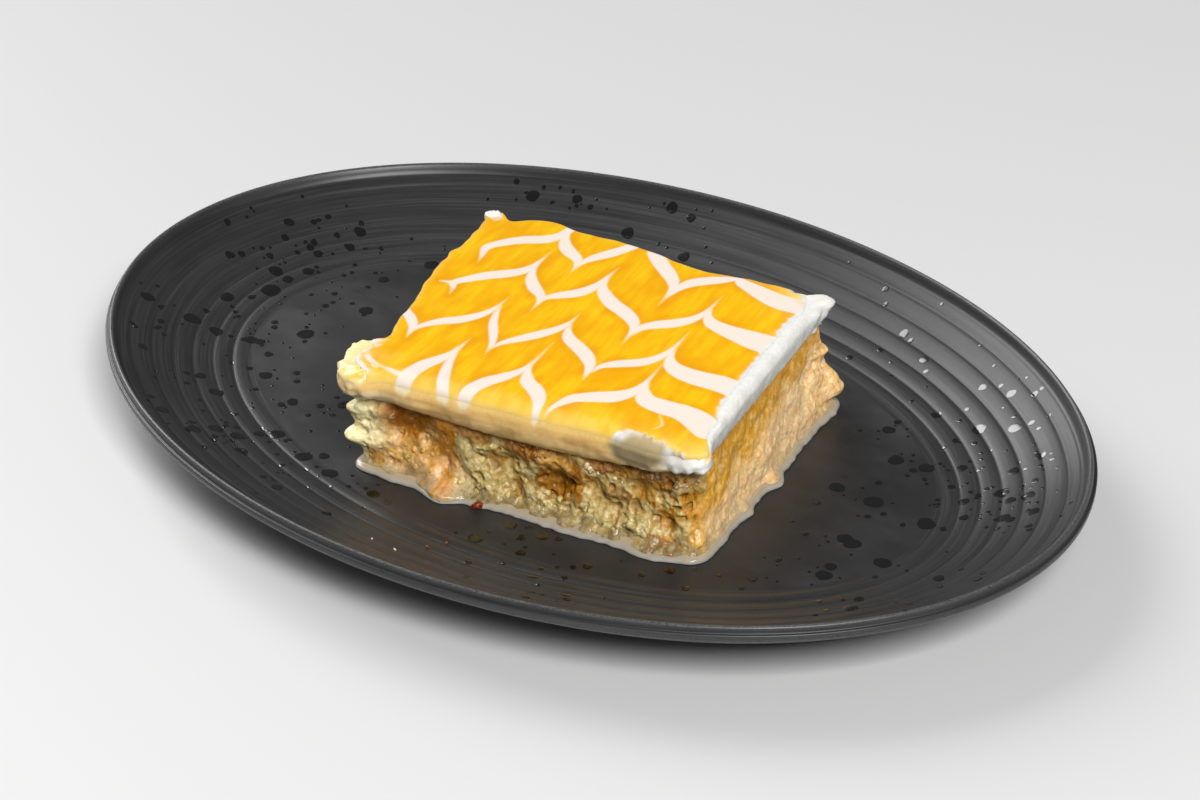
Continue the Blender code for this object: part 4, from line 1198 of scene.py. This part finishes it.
def milk_width(foot, places):
    """Width of the milk round the sponge's foot, as in its solid, with finer waves."""
    width = mix(MILK_WIDTH, MILK_RIGHT_WIDTH, at_side(places[..., 0])) + bumps(MILK_BULGES, foot)
    width = width + 0.5 * uneven(at_height(foot, SPONGE_BASE), 9.0) + 0.5 * uneven(at_height(foot, 4.0), 2.6)
    return np.maximum(width, 0.5)


def make_milk():
    """The milk round the sponge's foot, with a round wet edge."""
    places, ways = rounded_square(*MILK_COUNTS)
    foot = in_corners(SPONGE_FOOT, places)
    width = milk_width(foot, places)
    base = WELL_HEIGHT + 0.02
    climb = MILK_CLIMB + 0.9 * uneven(at_height(foot, 2.0), 3.6)
    steps = [(MILK_GAP + width - 0.25, base), (MILK_GAP + width, base + 0.25)]
    for part in np.linspace(0.04, 1.0, 12):
        meniscus = MILK_EDGE * min(part / 0.3, 1.0) ** 0.5
        height = base + 0.25 + meniscus + (climb - MILK_EDGE) * max(part - 0.3, 0.0) ** 1.3
        steps.append((MILK_GAP + width * (1.0 - part) - 1.6 * (part >= 1.0), height))
    steps.append((np.full(len(foot), -1.6), base))
    grid = np.array([at_height(foot + ways * reach[:, None], height) for reach, height in steps])
    index = np.arange(grid[..., 0].size).reshape(grid.shape[:2])
    above = np.roll(index, -1, axis=0)
    faces = quads(index, np.roll(index, -1, axis=1), above, np.roll(above, -1, axis=1))
    rise = np.clip((grid[..., 2] - base - 0.7) / 1.6, 0.0, 1.0)
    new_piece("milk_pool", grid.reshape(-1, 3), faces, "milk", "milk", milk_material(), rise=rise.ravel())


def make_floor():
    mesh = bpy.data.meshes.new("table_top")
    corners = [(x * TABLE_HALF, y * TABLE_HALF, 0.0) for x, y in ((-1, -1), (1, -1), (1, 1), (-1, 1))]
    mesh.from_pydata(corners, [], [(0, 1, 2, 3)])
    floor = bpy.data.objects.new("table_top", mesh)
    nodes = Nodes("table_pale")
    nodes.shade(Base_Color=(0.595, 0.595, 0.592), Roughness=0.5)
    mesh.materials.append(nodes.material)
    bpy.context.scene.collection.objects.link(floor)


def make_lights():
    """Softboxes that face the plate, with their places as the camera sees them, and a dim room."""
    for name, place, size, power in SOFTBOXES:
        lamp = bpy.data.lights.new(name, "AREA")
        lamp.shape = "SQUARE"
        lamp.size = size
        lamp.energy = power
        light = bpy.data.objects.new(name, lamp)
        light.location = Matrix.Rotation(math.radians(CAMERA_AZIMUTH), 3, "Z") @ Vector(place)
        light.rotation_euler = (-light.location).to_track_quat("-Z", "Y").to_euler()
        bpy.context.scene.collection.objects.link(light)
    world = bpy.data.worlds.new("studio")
    world.use_nodes = True
    background = world.node_tree.nodes["Background"]
    background.inputs["Color"].default_value = ROOM_TINT
    background.inputs["Strength"].default_value = ROOM_LIGHT
    bpy.context.scene.world = world
    bpy.context.scene.view_settings.view_transform = "Standard"


def make_camera():
    lens = bpy.data.cameras.new("camera")
    lens.lens = CAMERA_LENS
    lens.sensor_width = CAMERA_SENSOR
    camera = bpy.data.objects.new("camera", lens)
    turn, rise = math.radians(CAMERA_AZIMUTH), math.radians(CAMERA_ELEVATION)
    back = Vector((math.sin(turn) * math.cos(rise), -math.cos(turn) * math.cos(rise), math.sin(rise)))
    camera.location = (Vector(CAMERA_AIM) + back * CAMERA_DISTANCE) * MM
    camera.rotation_euler = back.to_track_quat("Z", "Y").to_euler()
    bpy.context.scene.collection.objects.link(camera)
    bpy.context.scene.camera = camera


make_camera()
make_lights()
make_floor()
make_plate()
make_specks()
crumb = crumb_material()
make_bits(make_sponge(crumb), crumb)
make_cream(cream_material())
make_icing()
make_milk()
